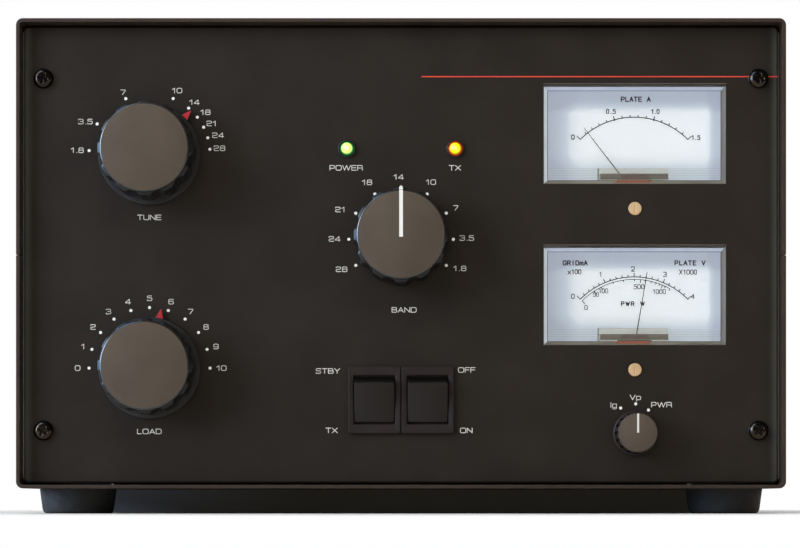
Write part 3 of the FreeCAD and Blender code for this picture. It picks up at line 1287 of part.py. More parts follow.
def control_sockets():
    """Pair of phono sockets with hexagonal fixing nuts."""
    made = []
    z = CASE_BOTTOM + PHONO_RISE
    nut_back = REAR_FACE + PHONO_NUT_THICKNESS
    tip = nut_back + PHONO_LENGTH
    for x in spread(REAR_X, PHONO_PITCH, PHONO_COUNT):
        nut = pushed_along_y(regular(x, z, PHONO_NUT_RADIUS, 6), (REAR_FACE, nut_back))
        barrel = rod(x, z, PHONO_RADIUS, (nut_back, tip))
        tail = rod(x, z, PHONO_TAIL_RADIUS, (REAR_INSIDE - PHONO_TAIL_LENGTH, REAR_FACE))
        hole = rod(x, z, PHONO_HOLE_RADIUS, (tip - PHONO_HOLE_DEPTH, tip + 1))
        made.append(fused([nut, barrel, tail]).cut(hole))
    return together(made)


def earth_post():
    """Earth stud with a fixing nut inside and a clamping nut outside."""
    z = CASE_BOTTOM + EARTH_RISE
    inside = REAR_INSIDE - EARTH_NUT_THICKNESS
    corners = regular(REAR_X, z, EARTH_NUT_RADIUS, 6)
    stud = rod(REAR_X, z, EARTH_STUD_RADIUS, (inside - 2, REAR_FACE + EARTH_STUD_REACH))
    return fused([stud, pushed_along_y(corners, (inside, REAR_INSIDE)),
                  pushed_along_y(corners, (REAR_FACE, REAR_FACE + EARTH_NUT_THICKNESS))])


def shouldered(x, z, width, height, chamfer, y_span):
    """Prism with its two upper corners cut off, as a mains connector has."""
    left, right = around(x, width / 2)
    bottom, top = around(z, height / 2)
    return pushed_along_y(((left, bottom), (right, bottom), (right, top - chamfer),
                           (right - chamfer, top), (left + chamfer, top), (left, top - chamfer)),
                          y_span)


def mains_inlet():
    """Flanged mains inlet with three blades in its cavity."""
    outer = REAR_FACE + INLET_FLANGE_THICKNESS
    floor = outer - INLET_CAVITY_DEPTH
    flange = block(around(INLET_X, INLET_FLANGE_WIDTH / 2), (REAR_FACE, outer),
                   around(INLET_Z, INLET_FLANGE_HEIGHT / 2))
    flange = flange.makeChamfer(INLET_CHAMFER, edges_along(flange, Y_AXIS))
    body = block(around(INLET_X, INLET_BODY_WIDTH / 2), (REAR_FACE - INLET_BODY_DEPTH, REAR_FACE),
                 around(INLET_Z, INLET_BODY_HEIGHT / 2))
    cavity = shouldered(INLET_X, INLET_Z, INLET_CAVITY_WIDTH, INLET_CAVITY_HEIGHT, INLET_CHAMFER,
                        (floor, outer + 1))
    pins = []
    for across, lift in ((-1, -1), (0, 1), (1, -1)):
        centre_z = INLET_Z + lift * INLET_EARTH_LIFT / 2
        pins.append(block(around(INLET_X + across * INLET_PIN_HALF_SPACING, INLET_PIN_WIDTH / 2),
                          (floor - 1, outer - INLET_PIN_TIP_RECESS),
                          around(centre_z, INLET_PIN_HEIGHT / 2)))
    return fused([fused([flange, body]).cut(cavity)] + pins)


def main():
    """Build every sub-part and write it out."""
    plate_z, grid_z = meter_heights()
    standby, power = rocker_places()
    left_lamp, right_lamp = led_places()
    subparts = {
        "top_cover": top_cover(),
        "bottom_cover": bottom_cover(),
        "front_panel": front_panel(),
        "rear_panel": rear_panel(),
        "side_frames": side_frames(),
        "chassis": chassis(),
        "inner_plates": inner_plates(),
        "panel_screws": panel_screws(),
        "case_screws": case_screws(),
        "feet": feet(),
        "reduction_drives": reduction_drives(),
        "band_switch": band_switch(),
        "meter_switch": meter_switch(),
        "plate_meter_case": meter_case(plate_z),
        "grid_meter_case": meter_case(grid_z),
        "plate_meter_dial": meter_dial(plate_z),
        "grid_meter_dial": meter_dial(grid_z),
        "plate_meter_window": meter_window(plate_z),
        "grid_meter_window": meter_window(grid_z),
        "plate_meter_movement": meter_movement(plate_z),
        "grid_meter_movement": meter_movement(grid_z),
        "power_led": lamp(*left_lamp),
        "tx_led": lamp(*right_lamp),
        "led_bezels": led_bezels(),
        "standby_switch": rocker_switch(*standby),
        "power_switch": rocker_switch(*power),
        "tune_stator": capacitor_stator(TUNE_Z, SHELF_TOP),
        "load_stator": capacitor_stator(LOAD_Z, FLOOR_TOP),
        "tank_coil": tank_coil(),
        "valves": valves(),
        "valve_fittings": valve_fittings(),
        "plate_choke": plate_choke(),
        "transformer": transformer(),
        "smoothing_bank": smoothing_bank(),
        "fan_frame": fan_frame(),
        "relay": relay(),
        "coax_sockets": coax_sockets(),
        "mains_inlet": mains_inlet(),
        "earth_post": earth_post(),
        "control_sockets": control_sockets(),
        "tune_knob": geared_knob(TUNE_Z),
        "tune_knob_cap": geared_knob_cap(TUNE_Z),
        "tune_pointer": pointer(TUNE_Z, TUNE_REST_ANGLE),
        "tune_rotor": capacitor_rotor(TUNE_Z, TUNE_REST_ANGLE),
        "load_knob": geared_knob(LOAD_Z),
        "load_knob_cap": geared_knob_cap(LOAD_Z),
        "load_pointer": pointer(LOAD_Z, LOAD_REST_ANGLE),
        "load_rotor": capacitor_rotor(LOAD_Z, LOAD_REST_ANGLE),
        "band_knob": band_knob(),
        "band_knob_cap": band_knob_cap(),
        "band_rotor": band_rotor(),
        "meter_knob": meter_knob(),
        "meter_knob_cap": meter_knob_cap(),
        "standby_rocker": rocker(*standby),
        "power_rocker": rocker(*power),
        "plate_needle": meter_needle(plate_z, PLATE_NEEDLE_ANGLE),
        "grid_needle": meter_needle(grid_z, GRID_NEEDLE_ANGLE),
        "plate_zero_screw": zero_screw(plate_z),
        "grid_zero_screw": zero_screw(grid_z),
        "fan_rotor": fan_rotor(),
    }
    for name, shape in subparts.items():
        save(name, shape)
    print(len(subparts), "sub-parts")


main()
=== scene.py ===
"""The looks of the HF linear amplifier: finishes, detailed pieces, lettering, floor, light and camera."""

import math
import random

import bmesh
import bpy
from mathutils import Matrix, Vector


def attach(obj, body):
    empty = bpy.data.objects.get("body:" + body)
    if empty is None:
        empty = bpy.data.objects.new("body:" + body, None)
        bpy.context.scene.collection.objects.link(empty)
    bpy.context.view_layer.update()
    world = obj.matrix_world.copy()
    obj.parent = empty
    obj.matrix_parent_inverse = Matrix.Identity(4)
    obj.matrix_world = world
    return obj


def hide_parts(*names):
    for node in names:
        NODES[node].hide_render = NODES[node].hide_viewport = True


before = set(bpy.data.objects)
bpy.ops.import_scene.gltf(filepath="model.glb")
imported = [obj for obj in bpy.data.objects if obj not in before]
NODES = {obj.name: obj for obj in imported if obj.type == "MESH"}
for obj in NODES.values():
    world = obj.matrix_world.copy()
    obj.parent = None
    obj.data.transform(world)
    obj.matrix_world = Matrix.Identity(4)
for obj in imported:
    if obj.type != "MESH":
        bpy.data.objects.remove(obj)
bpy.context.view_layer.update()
MM = 0.001
CHANCE = random.Random(7)

# The finishes by name
LOOKS = {}


# --- colours and node materials -------------------------------------------------------------------

def screen(red, green, blue):
    """A colour as a screen writes it, 0 to 255, in the linear values that shaders take."""
    return tuple(c / 255 / 12.92 if c < 11 else ((c / 255 + 0.055) / 1.055) ** 2.4
                 for c in (red, green, blue)) + (1.0,)


class Nodes:
    """A node tree. The inputs of a node are constants or outputs of other nodes."""

    def __init__(self, owner):
        owner.use_nodes = True
        self.tree = owner.node_tree
        self.tree.nodes.clear()

    def give(self, node, inputs):
        """Sets inputs of a node."""
        for socket, value in inputs.items():
            if isinstance(value, bpy.types.NodeSocket):
                self.tree.links.new(value, node.inputs[socket])
            else:
                node.inputs[socket].default_value = value
        return node

    def add(self, kind, inputs=(), **settings):
        """A new node."""
        made = self.tree.nodes.new("ShaderNode" + kind)
        for key, value in settings.items():
            setattr(made, key, value)
        return self.give(made, dict(inputs))

    def node(self, kind, inputs=(), output=0, **settings):
        """One output of a new node."""
        return self.add(kind, inputs, **settings).outputs[output]

    def math(self, operation, *values):
        return self.node("Math", enumerate(values), operation=operation)

    def spread(self, source, start, end, low=0.0, high=1.0, way="LINEAR"):
        """Carries the values of a pattern from start..end over to low..high."""
        return self.node("MapRange", {0: source, "From Min": start, "From Max": end, "To Min": low,
                                      "To Max": high}, interpolation_type=way)


class Finish(Nodes):
    """A procedural surface: its colour, gloss and relief change with the place on the piece."""

    def __init__(self, name, metallic=0.0, specular=0.5, **sockets):
        LOOKS[name] = bpy.data.materials.new(name)
        super().__init__(LOOKS[name])
        self.shader = self.add("BsdfPrincipled", {"Metallic": metallic, "Specular IOR Level": specular})
        self.give(self.shader, {socket.replace("_", " "): value for socket, value in sockets.items()})
        self.out = self.add("OutputMaterial", {0: self.shader.outputs[0]})
        self.places = self.node("TexCoord", output="Object")

    def along(self, axis):
        """The place along X, Y or Z, in metres."""
        return self.node("SeparateXYZ", {0: self.places}, axis)

    def noise(self, scale, detail=3.0, stretch=(1, 1, 1), distortion=0.0):
        """A cloud pattern with scale features to the metre."""
        spread = self.node("Mapping", {0: self.places, "Scale": stretch})
        return self.node("TexNoise", {"Vector": spread, "Scale": scale, "Detail": detail,
                                      "Distortion": distortion}, "Fac")

    def colours(self, factor, *stops):
        """Sets the base colour from a pattern; stops are (place 0 to 1, colour on screen)."""
        ramp = self.add("ValToRGB", {0: factor})
        while len(ramp.color_ramp.elements) < len(stops):
            ramp.color_ramp.elements.new(0.5)
        for element, (at, colour) in zip(ramp.color_ramp.elements, stops):
            element.position, element.color = at, screen(*colour)
        self.colour = ramp.outputs[0]
        self.give(self.shader, {"Base Color": self.colour})

    def surface(self, gloss, low, high, relief, depth, soften=0.0):
        """Sets the roughness from a pattern, between low and high, and raises the surface by another,
        depth millimetres high, over edges rounded by soften."""
        self.give(self.shader, {"Roughness": self.spread(gloss, 0.3, 0.7, low, high)})
        bump = self.add("Bump", {"Distance": depth * MM, "Height": relief})
        if soften:
            self.give(bump, {"Normal": self.node("Bevel", {"Radius": soften * MM}, samples=4)})
        self.give(self.shader, {"Normal": bump.outputs[0]})

    def worn(self, colour, width, amount):
        """Rubs the edges through to another colour, over width millimetres, in patches."""
        edge = self.node("Bevel", {"Radius": width * MM}, samples=4)
        lie = self.node("NewGeometry", output="Normal")
        match = self.node("VectorMath", {0: edge, 1: lie}, "Value", operation="DOT_PRODUCT")
        patch = self.math("MULTIPLY", self.spread(match, 0.99, 0.86),
                          self.spread(self.noise(260, 4), 0.62 - 0.5 * amount, 0.72))
        mix = self.node("Mix", {0: patch, 6: self.colour, 7: screen(*colour)}, 2, data_type="RGBA")
        self.give(self.shader, {"Base Color": mix})


def painted(name, colour, other, rough, grain=1800, depth=0.012, soften=0.35, wear=None, **sockets):
    """Stoved or powder paint: a faint mottle, fine orange peel and softened sheet edges."""
    made = Finish(name, **sockets)
    made.colours(made.noise(38, 5), (0.35, colour), (0.65, other))
    made.surface(made.noise(220, 4), *rough, made.noise(grain, 2), depth, soften)
    if wear:
        made.worn(*wear)


def moulded(name, colour, other, rough, grain=1400, depth=0.006, soften=0.25, wear=None, **sockets):
    """Moulded plastic or rubber: flow marks, a fine skin and rounded edges."""
    made = Finish(name, **sockets)
    made.colours(made.noise(70, 4, distortion=0.6), (0.3, colour), (0.7, other))
    made.surface(made.noise(480, 3), *rough, made.noise(grain, 3), depth, soften)
    if wear:
        made.worn(*wear)


def metal(name, colour, other, rough, stretch=(1, 1, 1), grain=700, depth=0.004, soften=0.15):
    """Bare or plated metal: drawn or brushed streaks, spots of tarnish and bright edges."""
    made = Finish(name, metallic=1.0)
    made.colours(made.noise(55, 6), (0.35, colour), (0.72, other))
    made.surface(made.noise(grain, 4, stretch), *rough, made.noise(grain, 4, stretch), depth, soften)


def frosted(name, colour, other, rough, glow):
    """Clear plastic seen edge on, or metal beside the dial, with a painted glow that stands for the dial's
    light.
    """
    # painted light: the surface gives off its own colour
    made = Finish(name, specular=0.3, Emission_Strength=glow, Emission_Color=screen(*colour))
    made.colours(made.noise(90, 3), (0.3, colour), (0.7, other))
    made.surface(made.noise(400, 3), *rough, made.noise(900, 2), 0.01)


def milky(name, colour, other, cover):
    """A thin milky skin that lets part of what is behind it through."""
    made = Finish(name, specular=0.1, Alpha=cover)
    made.colours(made.noise(60, 4, (1, 1, 6)), (0.3, colour), (0.7, other))
    made.surface(made.noise(400, 3), 0.4, 0.6, made.noise(900, 2), 0.004)


# --- shapes, in millimetres -----------------------------------------------------------------------

class Shape:
    """Points and faces of one piece, gathered part by part; each face has a finish number."""

    def __init__(self):
        self.points, self.faces, self.finishes = [], [], []

    def add(self, points, faces, finish=0):
        start = len(self.points)
        self.points += [Vector(p) for p in points]
        self.faces += [tuple(start + i for i in face) for face in faces]
        self.finishes += [finish] * len(faces)
        return self

    def take(self, other, move, finish=None):
        """Adds another shape, its points moved by a function, in its own finishes or in one."""
        start = len(self.points)
        self.points += [Vector(move(p)) for p in other.points]
        self.faces += [tuple(start + i for i in face) for face in other.faces]
        self.finishes += other.finishes if finish is None else [finish] * len(other.faces)
        return self

    def skin(self, rows, finish=0, first=False, last=False):
        """Joins closed rows of points, each to the next; a row of one point is a pole. The first and
        the last row may have a face of their own."""
        points, faces, low = list(rows[0]), [], 0
        for one, two in zip(rows, rows[1:]):
            high, count = low + len(one), max(len(one), len(two))
            points += two
            for step in range(count):
                after = (step + 1) % count
                face = dict.fromkeys((low + step % len(one), low + after % len(one),
                                      high + after % len(two), high + step % len(two)))
                if len(face) > 2:
                    faces.append(tuple(face))
            low = high
        if first:
            faces.append(tuple(range(len(rows[0]))))
        if last:
            faces.append(tuple(range(low, len(points))))
        return self.add(points, faces, finish)

    def turned(self, profile, centre, sides=48, finish=0, reach=None, upright=False):
        """A turned form about a line through centre along Y, or along Z where it is upright: profile
        is (radius, place along it), with radius 0 at a pole. reach(angle, radius) may change the
        radius round the form."""
        def spot(radius, along, angle):
            out = reach(angle, radius) if reach and radius else radius
            across, up = out * math.sin(angle), out * math.cos(angle)
            return Vector(centre) + Vector((across, up, along) if upright else (across, along, up))

        return self.skin([[spot(radius, along, angle) for angle in ring_angles(sides if radius else 1)]
                          for radius, along in profile], finish)

    def layered(self, layers, finish=0, first=False, last=True):
        """A form of (outline, y) layers, each outline the same number of (x, z) points."""
        return self.skin([[(x, y, z) for x, z in outline] for outline, y in layers], finish, first, last)

    def slab(self, outline, back, front, finish=0, edge=0.0):
        """A plate from back to front, its front edge chamfered."""
        sides = [(outline, back), (outline, front + math.copysign(edge, back - front))]
        return self.layered(sides + [(shrunk(outline, edge), front)] if edge else sides, finish, True)

    def stroke(self, path, width, depth, finish=0):
        """A flat printed line with round ends and joints, near the plane y = depth; its parts lie a
        thousandth of a millimetre apart, so that none shades another."""
        path = [Vector(p) for p in path]
        half = width / 2

        def ink(ring):
            level = depth - 0.001 * (len(self.faces) % 16)
            self.add([(x, level, z) for x, z in ring], [tuple(range(len(ring)))], finish)

        for start, end in zip(path, path[1:]):
            if (end - start).length < 1e-6:
                continue
            side = Vector((start.y - end.y, end.x - start.x)).normalized() * half
            ink([start + side, start - side, end - side, end + side])
        for spot in path:
            ink([(spot.x + half * math.cos(a), spot.y + half * math.sin(a)) for a in ring_angles(10)])
        return self

    def wire(self, path, radius, finish=0, sides=6, closed=False):
        """A round wire along a path of (x, y, z) points."""
        path = [Vector(p) for p in path]
        rows = []
        for i, spot in enumerate(path):
            before = path[i - 1] if i or closed else spot
            after = path[(i + 1) % len(path)] if i + 1 < len(path) or closed else spot
            ahead = (after - before).normalized()
            across = ahead.cross(Vector((0.13, 0.31, 1.0))).normalized()
            up = across.cross(ahead)
            rows.append([spot + radius * (math.cos(a) * across + math.sin(a) * up)
                         for a in ring_angles(sides)])
        return self.skin(rows + rows[:1] if closed else rows, finish, not closed, not closed)


def ring_angles(count):
    return [2 * math.pi * i / count for i in range(count)]


def clamped(value):
    return min(1.0, max(0.0, value))


def shrunk(outline, by):
    """An outline drawn in by a distance, for convex outlines whose points go round in order."""
    count, out = len(outline), []
    middle = Vector((sum(p[0] for p in outline), sum(p[1] for p in outline))) / count
    for i, point in enumerate(outline):
        before, here, after = Vector(outline[i - 1]), Vector(point), Vector(outline[(i + 1) % count])
        sides = []
        for start, end in ((before, here), (here, after)):
            run = (end - start).normalized()
            inward = Vector((-run.y, run.x))
            sides.append(-inward if inward.dot(middle - here) < 0 else inward)
        turn = sides[0] + sides[1]
        out.append(tuple(here + turn * (by / max(0.2, turn.dot(sides[0])))))
    return out


def box(left, right, low, high):
    """A rectangle, as (x, z) points."""
    return [(left, low), (right, low), (right, high), (left, high)]


def rounded_box(left, right, low, high, radius, steps=6):
    """A rectangle with rounded corners."""
    points = []
    for x, z, start in ((right - radius, high - radius, 0), (left + radius, high - radius, 90),
                        (left + radius, low + radius, 180), (right - radius, low + radius, 270)):
        for step in range(steps + 1):
            angle = math.radians(start + 90 * step / steps)
            points.append((x + radius * math.cos(angle), z + radius * math.sin(angle)))
    return points


def arc(centre, radius, start, end, steps=5):
    """Profile points round a corner, angles in degrees from the outward direction."""
    turns = [math.radians(start + (end - start) * i / steps) for i in range(steps + 1)]
    return [(centre[0] + radius * math.cos(t), centre[1] - radius * math.sin(t)) for t in turns]


def around(centre, radius, angle):
    """A place beside a centre, angle in degrees clockwise from straight up."""
    turn = math.radians(angle)
    return (centre[0] + radius * math.sin(turn), centre[1] + radius * math.cos(turn))


def linked(name, points, faces):
    """A new object in the scene, points in metres."""
    mesh = bpy.data.meshes.new(name)
    mesh.from_pydata(points, [], faces)
    made = bpy.data.objects.new(name, mesh)
    bpy.context.scene.collection.objects.link(made)
    return made


def piece(name, shape, finishes, body, replaces=(), sharp=38, bevel=0.0, printed=False):
    """Makes an object of a shape, lets it ride on a body and says which nodes it stands for.
    A printed piece is flat ink, whose faces stay as they are."""
    made = linked(name, [tuple(p * MM) for p in shape.points], shape.faces)
    mesh = made.data
    for finish in finishes:
        mesh.materials.append(LOOKS[finish])
    mesh.polygons.foreach_set("material_index", shape.finishes)
    mesh.update()
    if not printed:
        shell = bmesh.new()
        shell.from_mesh(mesh)
        bmesh.ops.remove_doubles(shell, verts=shell.verts, dist=1e-7)
        bmesh.ops.recalc_face_normals(shell, faces=shell.faces)
        shell.to_mesh(mesh)
        shell.free()
        mesh.shade_smooth()
        mesh.set_sharp_from_angle(angle=math.radians(sharp))
    if bevel:
        rounding = made.modifiers.new("edges", "BEVEL")
        rounding.width, rounding.segments = bevel * MM, 3
        rounding.limit_method, rounding.angle_limit = "ANGLE", math.radians(35)
        rounding.harden_normals = True
    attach(made, body)
    if replaces:
        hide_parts(*replaces)


def dress(finish, *nodes):
    """Gives CAD nodes a finish."""
    for node in nodes:
        for place in NODES[node].material_slots:
            place.material = LOOKS[finish]


# --- finishes -------------------------------------------------------------------------------------

# Both meters stand at one x; each has the height of its window's middle and that of its needle's pivot.
METER_X = 111.9
METERS = {"plate": (181.5, 154.8), "grid": (104.4, 77.7)}
GREEN_X, AMBER_X, LAMP_Z = -25.9, 25.9, 174.5


def panel_finish():
    """Satin paint on the front panel, with a painted sheen that lightens it towards the rolled ends of the
    sheet.
    """
    made = Finish("panel_paint", specular=0.08)
    # painted sheen: the colour lightens towards both ends of the panel
    edge_sheen = made.spread(made.math("ABSOLUTE", made.along("X")), 0.1745, 0.1815, high=0.75, way="SMOOTHERSTEP")
    made.colours(made.math("MULTIPLY_ADD", made.noise(38, 5), 0.3, edge_sheen), (0.1, (39, 33, 27)),
                 (0.2, (44, 38, 32)), (1.0, (78, 76, 70)))
    made.surface(made.noise(220, 4), 0.5, 0.66, made.noise(3000, 2), 0.01, 0.3)


def rocker_finish():
    """Black moulding, polished smooth on the faces, with painted shade that darkens the shoulder above the
    face.
    """
    made = Finish("rocker_black", specular=0.12)
    # painted shade: the colour darkens above the flat face, where the bezel shades the key
    high = made.spread(made.along("Z"), 0.0612, 0.064, way="SMOOTHSTEP")
    made.colours(made.math("MULTIPLY_ADD", made.noise(70, 4, distortion=0.6), 0.3, high),
                 (0.08, (36, 31, 29)), (0.24, (42, 36, 33)), (1.0, (13, 11, 8)))
    made.surface(made.noise(480, 3), 0.34, 0.46, made.noise(2600, 3), 0.012, 0.3)


def clear_plastic():
    """The meter covers: clear styrene with fine scuffs."""
    made = Finish("clear_plastic", specular=0.3, Transmission_Weight=1.0, IOR=1.3)
    made.colours(made.noise(30, 3), (0.3, (252, 253, 254)), (0.7, (248, 250, 252)))
    made.surface(made.noise(160, 5, (1, 1, 3)), 0.0, 0.025, made.noise(1500, 2, (1, 1, 9)), 0.0006)


def dial_card(name, middle):
    """A printed metal dial with a painted glow that stands for light from its edges, and painted shade that
    makes it cooler and darker along the top, the sides and towards the foot.
    """
    # painted glow: the dial gives off its own colour as light
    made = Finish(name, specular=0.02, Emission_Strength=0.4)
    shade = made.math("MULTIPLY", made.noise(40, 4), 0.12)
    # painted shade along the top, the left, the right and towards the foot
    for axis, centre, start, end, high in (("Z", middle, 11, 19, 0.85), ("X", METER_X, -24, -41, 0.8),
                                           ("X", METER_X, 35, 40.5, 0.7), ("Z", middle, -7, -19, 0.5)):
        side = made.spread(made.along(axis), (centre + start) * MM, (centre + end) * MM, high=high,
                           way="SMOOTHSTEP")
        shade = made.math("ADD", shade, side)
    made.colours(shade, (0.0, (248, 248, 244)), (0.45, (206, 212, 216)), (1.0, (184, 188, 196)))
    made.surface(made.noise(300, 3), 0.5, 0.7, made.noise(2600, 2), 0.004)
    made.give(made.shader, {"Emission Color": made.colour})


def lens_glass(name, x, *tones):
    """A lit lens: a white hot spot in its middle, then its bright body, then its deep coloured foot."""
    made = Finish(name, Coat_Weight=0.5, Coat_Roughness=0.05, Emission_Strength=0.85)
    place = made.node("Mapping", {0: made.places, "Location": (-x * MM, 0.0, -LAMP_Z * MM),
                                  "Scale": (1.0, 0.0, 1.0)})
    away = made.spread(made.node("VectorMath", {0: place}, "Value", operation="LENGTH"), 0.0, 3.6 * MM)
    made.colours(made.math("MULTIPLY_ADD", made.noise(1400, 2), 0.12, away),
                 *zip((0.0, 0.24, 0.36, 0.72, 0.86, 1.0), tones))
    made.surface(made.noise(600, 2), 0.08, 0.2, made.noise(1300, 1), 0.02)
    made.give(made.shader, {"Emission Color": made.colour})


panel_finish()
rocker_finish()
clear_plastic()
for meter, (middle, _) in METERS.items():
    dial_card(meter + "_card", middle)
lens_glass("green_lens", GREEN_X, (240, 246, 236), (228, 240, 190), (196, 224, 84), (206, 236, 130),
           (10, 104, 40), (2, 58, 26))
lens_glass("amber_lens", AMBER_X, (244, 244, 240), (228, 232, 60), (196, 214, 8), (204, 208, 10),
           (170, 62, 14), (104, 28, 8))

# Sheet metal and fittings
painted("case_paint", (53, 42, 34), (58, 46, 37), (0.42, 0.6), 2600, 0.02, 0.5, ((104, 76, 54), 0.6, 0.4),
        specular=0.16)
painted("rear_paint", (46, 44, 42), (54, 51, 48), (0.48, 0.64), 2600, 0.02, 0.4, ((130, 124, 115), 0.4, 0.3),
        specular=0.3)
metal("zinc_plate", (176, 172, 160), (150, 148, 142), (0.3, 0.5), (1, 1, 6))
metal("bent_aluminium", (188, 188, 186), (165, 166, 168), (0.28, 0.46), (1, 12, 1))
metal("bronzed_steel", (46, 41, 37), (74, 62, 50), (0.13, 0.26), grain=1500)
metal("black_screw", (44, 42, 41), (70, 66, 62), (0.25, 0.42), grain=1500)
metal("silvered", (205, 203, 196), (168, 162, 150), (0.18, 0.38), (1, 8, 1))
metal("copper_bar", (196, 126, 92), (150, 86, 62), (0.2, 0.4), (4, 1, 1))
metal("copper_wire", (214, 112, 62), (150, 66, 36), (0.16, 0.34), (14, 1, 1), 900, 0.02)
metal("brass", (206, 176, 110), (168, 134, 78), (0.2, 0.4), (1, 6, 1))
metal("nickel", (196, 194, 188), (158, 154, 146), (0.16, 0.36), (1, 5, 1))
metal("bright_rotor", (200, 201, 202), (176, 178, 180), (0.24, 0.42), (1, 10, 1))
metal("lamination", (96, 94, 92), (62, 58, 54), (0.35, 0.6), (1, 1, 120), 90, 0.05)

# Mouldings
moulded("rubber", (38, 36, 34), (50, 47, 44), (0.62, 0.85), 900, 0.05, 0.6, ((92, 90, 88), 0.8, 0.45),
        specular=0.3)
moulded("knob_black", (22, 20, 18), (29, 26, 24), (0.26, 0.36), 1900, 0.003, 0.2, specular=0.3)
moulded("disc_black", (34, 32, 30), (41, 38, 35), (0.36, 0.48), 1700, 0.004, 0.2, specular=0.35)
painted("cap_brown", (82, 72, 62), (89, 78, 68), (0.7, 0.84), 3400, 0.008, 0.15, specular=0.08)
moulded("rim_gloss", (34, 32, 31), (42, 39, 37), (0.12, 0.2), 2200, 0.002, 0.0, Coat_Weight=0.5,
        Coat_Roughness=0.06)
moulded("bezel_black", (38, 31, 28), (45, 37, 33), (0.4, 0.52), 2400, 0.014, 0.2, specular=0.15)
moulded("ring_black", (20, 20, 19), (30, 28, 27), (0.25, 0.4), 2200, 0.004, 0.15)
moulded("switch_moulding", (120, 96, 62), (98, 74, 46), (0.35, 0.55), 600, 0.02, 0.2)
moulded("black_moulding", (30, 30, 31), (42, 41, 41), (0.4, 0.6), 1300, 0.02, 0.3)
moulded("meter_moulding", (58, 57, 56), (72, 70, 68), (0.35, 0.5), 1500, 0.01, 0.3)
moulded("cream_plastic", (224, 184, 140), (206, 162, 116), (0.35, 0.5), 1400, 0.012, 0.3,
        ((150, 112, 78), 0.5, 0.6), Subsurface_Weight=0.15)
moulded("sleeve", (30, 44, 92), (24, 34, 74), (0.2, 0.36), 700, 0.02, 0.4, Coat_Weight=0.4)
moulded("relay_clear", (196, 200, 198), (182, 186, 184), (0.12, 0.28), 500, 0.01, 0.3,
        Transmission_Weight=0.6)
moulded("valve_envelope", (222, 214, 200), (196, 186, 168), (0.2, 0.4), 700, 0.01, 0.4, Coat_Weight=0.3)
moulded("enamel_wire", (150, 78, 34), (112, 52, 20), (0.2, 0.36), 2200, 0.05, 0.1, Coat_Weight=0.4)
moulded("ptfe", (226, 222, 210), (208, 202, 188), (0.35, 0.5), 900, 0.01, 0.15)
moulded("phenolic", (92, 58, 36), (70, 42, 26), (0.35, 0.5), 1200, 0.01, 0.15)

# Inks
painted("print_white", (224, 222, 216), (208, 206, 199), (0.45, 0.6), 5200, 0.004, 0.0, specular=0.3)
painted("dot_white", (250, 250, 247), (240, 240, 236), (0.45, 0.6), 5200, 0.004, 0.0, specular=0.3)
painted("print_red", (226, 74, 50), (208, 62, 42), (0.45, 0.6), 5200, 0.004, 0.0, specular=0.3)
painted("arrow_red", (200, 42, 48), (176, 34, 42), (0.35, 0.5), 4200, 0.004, 0.1)
painted("index_white", (240, 240, 236), (222, 222, 216), (0.4, 0.55), 4200, 0.004, 0.1)
painted("dial_ink", (26, 16, 16), (46, 30, 28), (0.5, 0.7), 6000, 0.002, 0.0, specular=0.2)
painted("needle_brown", (56, 40, 31), (74, 54, 42), (0.35, 0.5), 3000, 0.004, 0.0)

# The rims of the meter covers, seen edge on, in painted light and shade: each side has its own lit or shaded
# colour and the lit ones a painted glow; and the strips at their foot
frosted("edge_glow", (196, 203, 218), (214, 219, 230), (0.4, 0.55), 0.22)
frosted("edge_white", (226, 232, 232), (214, 222, 224), (0.4, 0.55), 0.3)
for name, colour, other in (("edge_shade", (92, 84, 78), (110, 102, 96)),
                            ("edge_beige", (176, 166, 146), (150, 138, 118)),
                            ("edge_pale", (186, 184, 176), (174, 172, 162)),
                            ("edge_grey", (172, 166, 150), (162, 156, 140))):
    painted(name, colour, other, (0.3, 0.5), 1500, 0.004, 0.0)
moulded("edge_line", (92, 90, 106), (112, 106, 118), (0.3, 0.5), 1400, 0.002, 0.0)
moulded("edge_brown", (78, 68, 60), (92, 82, 72), (0.3, 0.5), 1400, 0.002, 0.0)
milky("strip_milk", (236, 238, 216), (226, 229, 207), 0.17)
milky("strip_line", (140, 144, 138), (156, 160, 154), 0.3)

# The fronts of the movements, with a painted glow on the yoke's grey; and the painted reflections of the
# coil on the covers' rims
frosted("coil_glint", (150, 74, 44), (132, 62, 38), (0.3, 0.5), 0.35)
frosted("coil_highlight", (208, 128, 88), (190, 108, 70), (0.3, 0.5), 0.5)
# painted glow on the yoke's top plate
frosted("yoke_grey", (212, 212, 204), (198, 198, 190), (0.4, 0.6), 0.3)
painted("yoke_shade", (110, 90, 68), (124, 102, 80), (0.4, 0.6), 1500, 0.01, 0.1)
painted("yoke_rust", (128, 54, 28), (96, 42, 24), (0.4, 0.6), 1500, 0.01, 0.1)
painted("coil_dark", (44, 22, 16), (64, 32, 22), (0.4, 0.6), 1500, 0.01, 0.1)
painted("pole_white", (236, 236, 226), (214, 214, 202), (0.3, 0.5), 1500, 0.01, 0.1)

dress("case_paint", "top_cover", "bottom_cover")
dress("panel_paint", "front_panel")
dress("rear_paint", "rear_panel")
dress("bent_aluminium", "side_frames", "inner_plates")
dress("zinc_plate", "chassis")
dress("brass", "reduction_drives")
dress("switch_moulding", "band_switch", "meter_switch")
dress("meter_moulding", "plate_meter_case", "grid_meter_case")
dress("plate_card", "plate_meter_dial")
dress("grid_card", "grid_meter_dial")
dress("silvered", "plate_meter_movement", "grid_meter_movement", "valve_fittings")
dress("bright_rotor", "tune_stator", "load_stator", "tune_rotor", "load_rotor", "band_rotor")
dress("copper_bar", "tank_coil")
dress("valve_envelope", "valves")
dress("enamel_wire", "plate_choke")
dress("lamination", "transformer")
dress("sleeve", "smoothing_bank")
dress("black_moulding", "fan_frame", "fan_rotor")
dress("relay_clear", "relay")


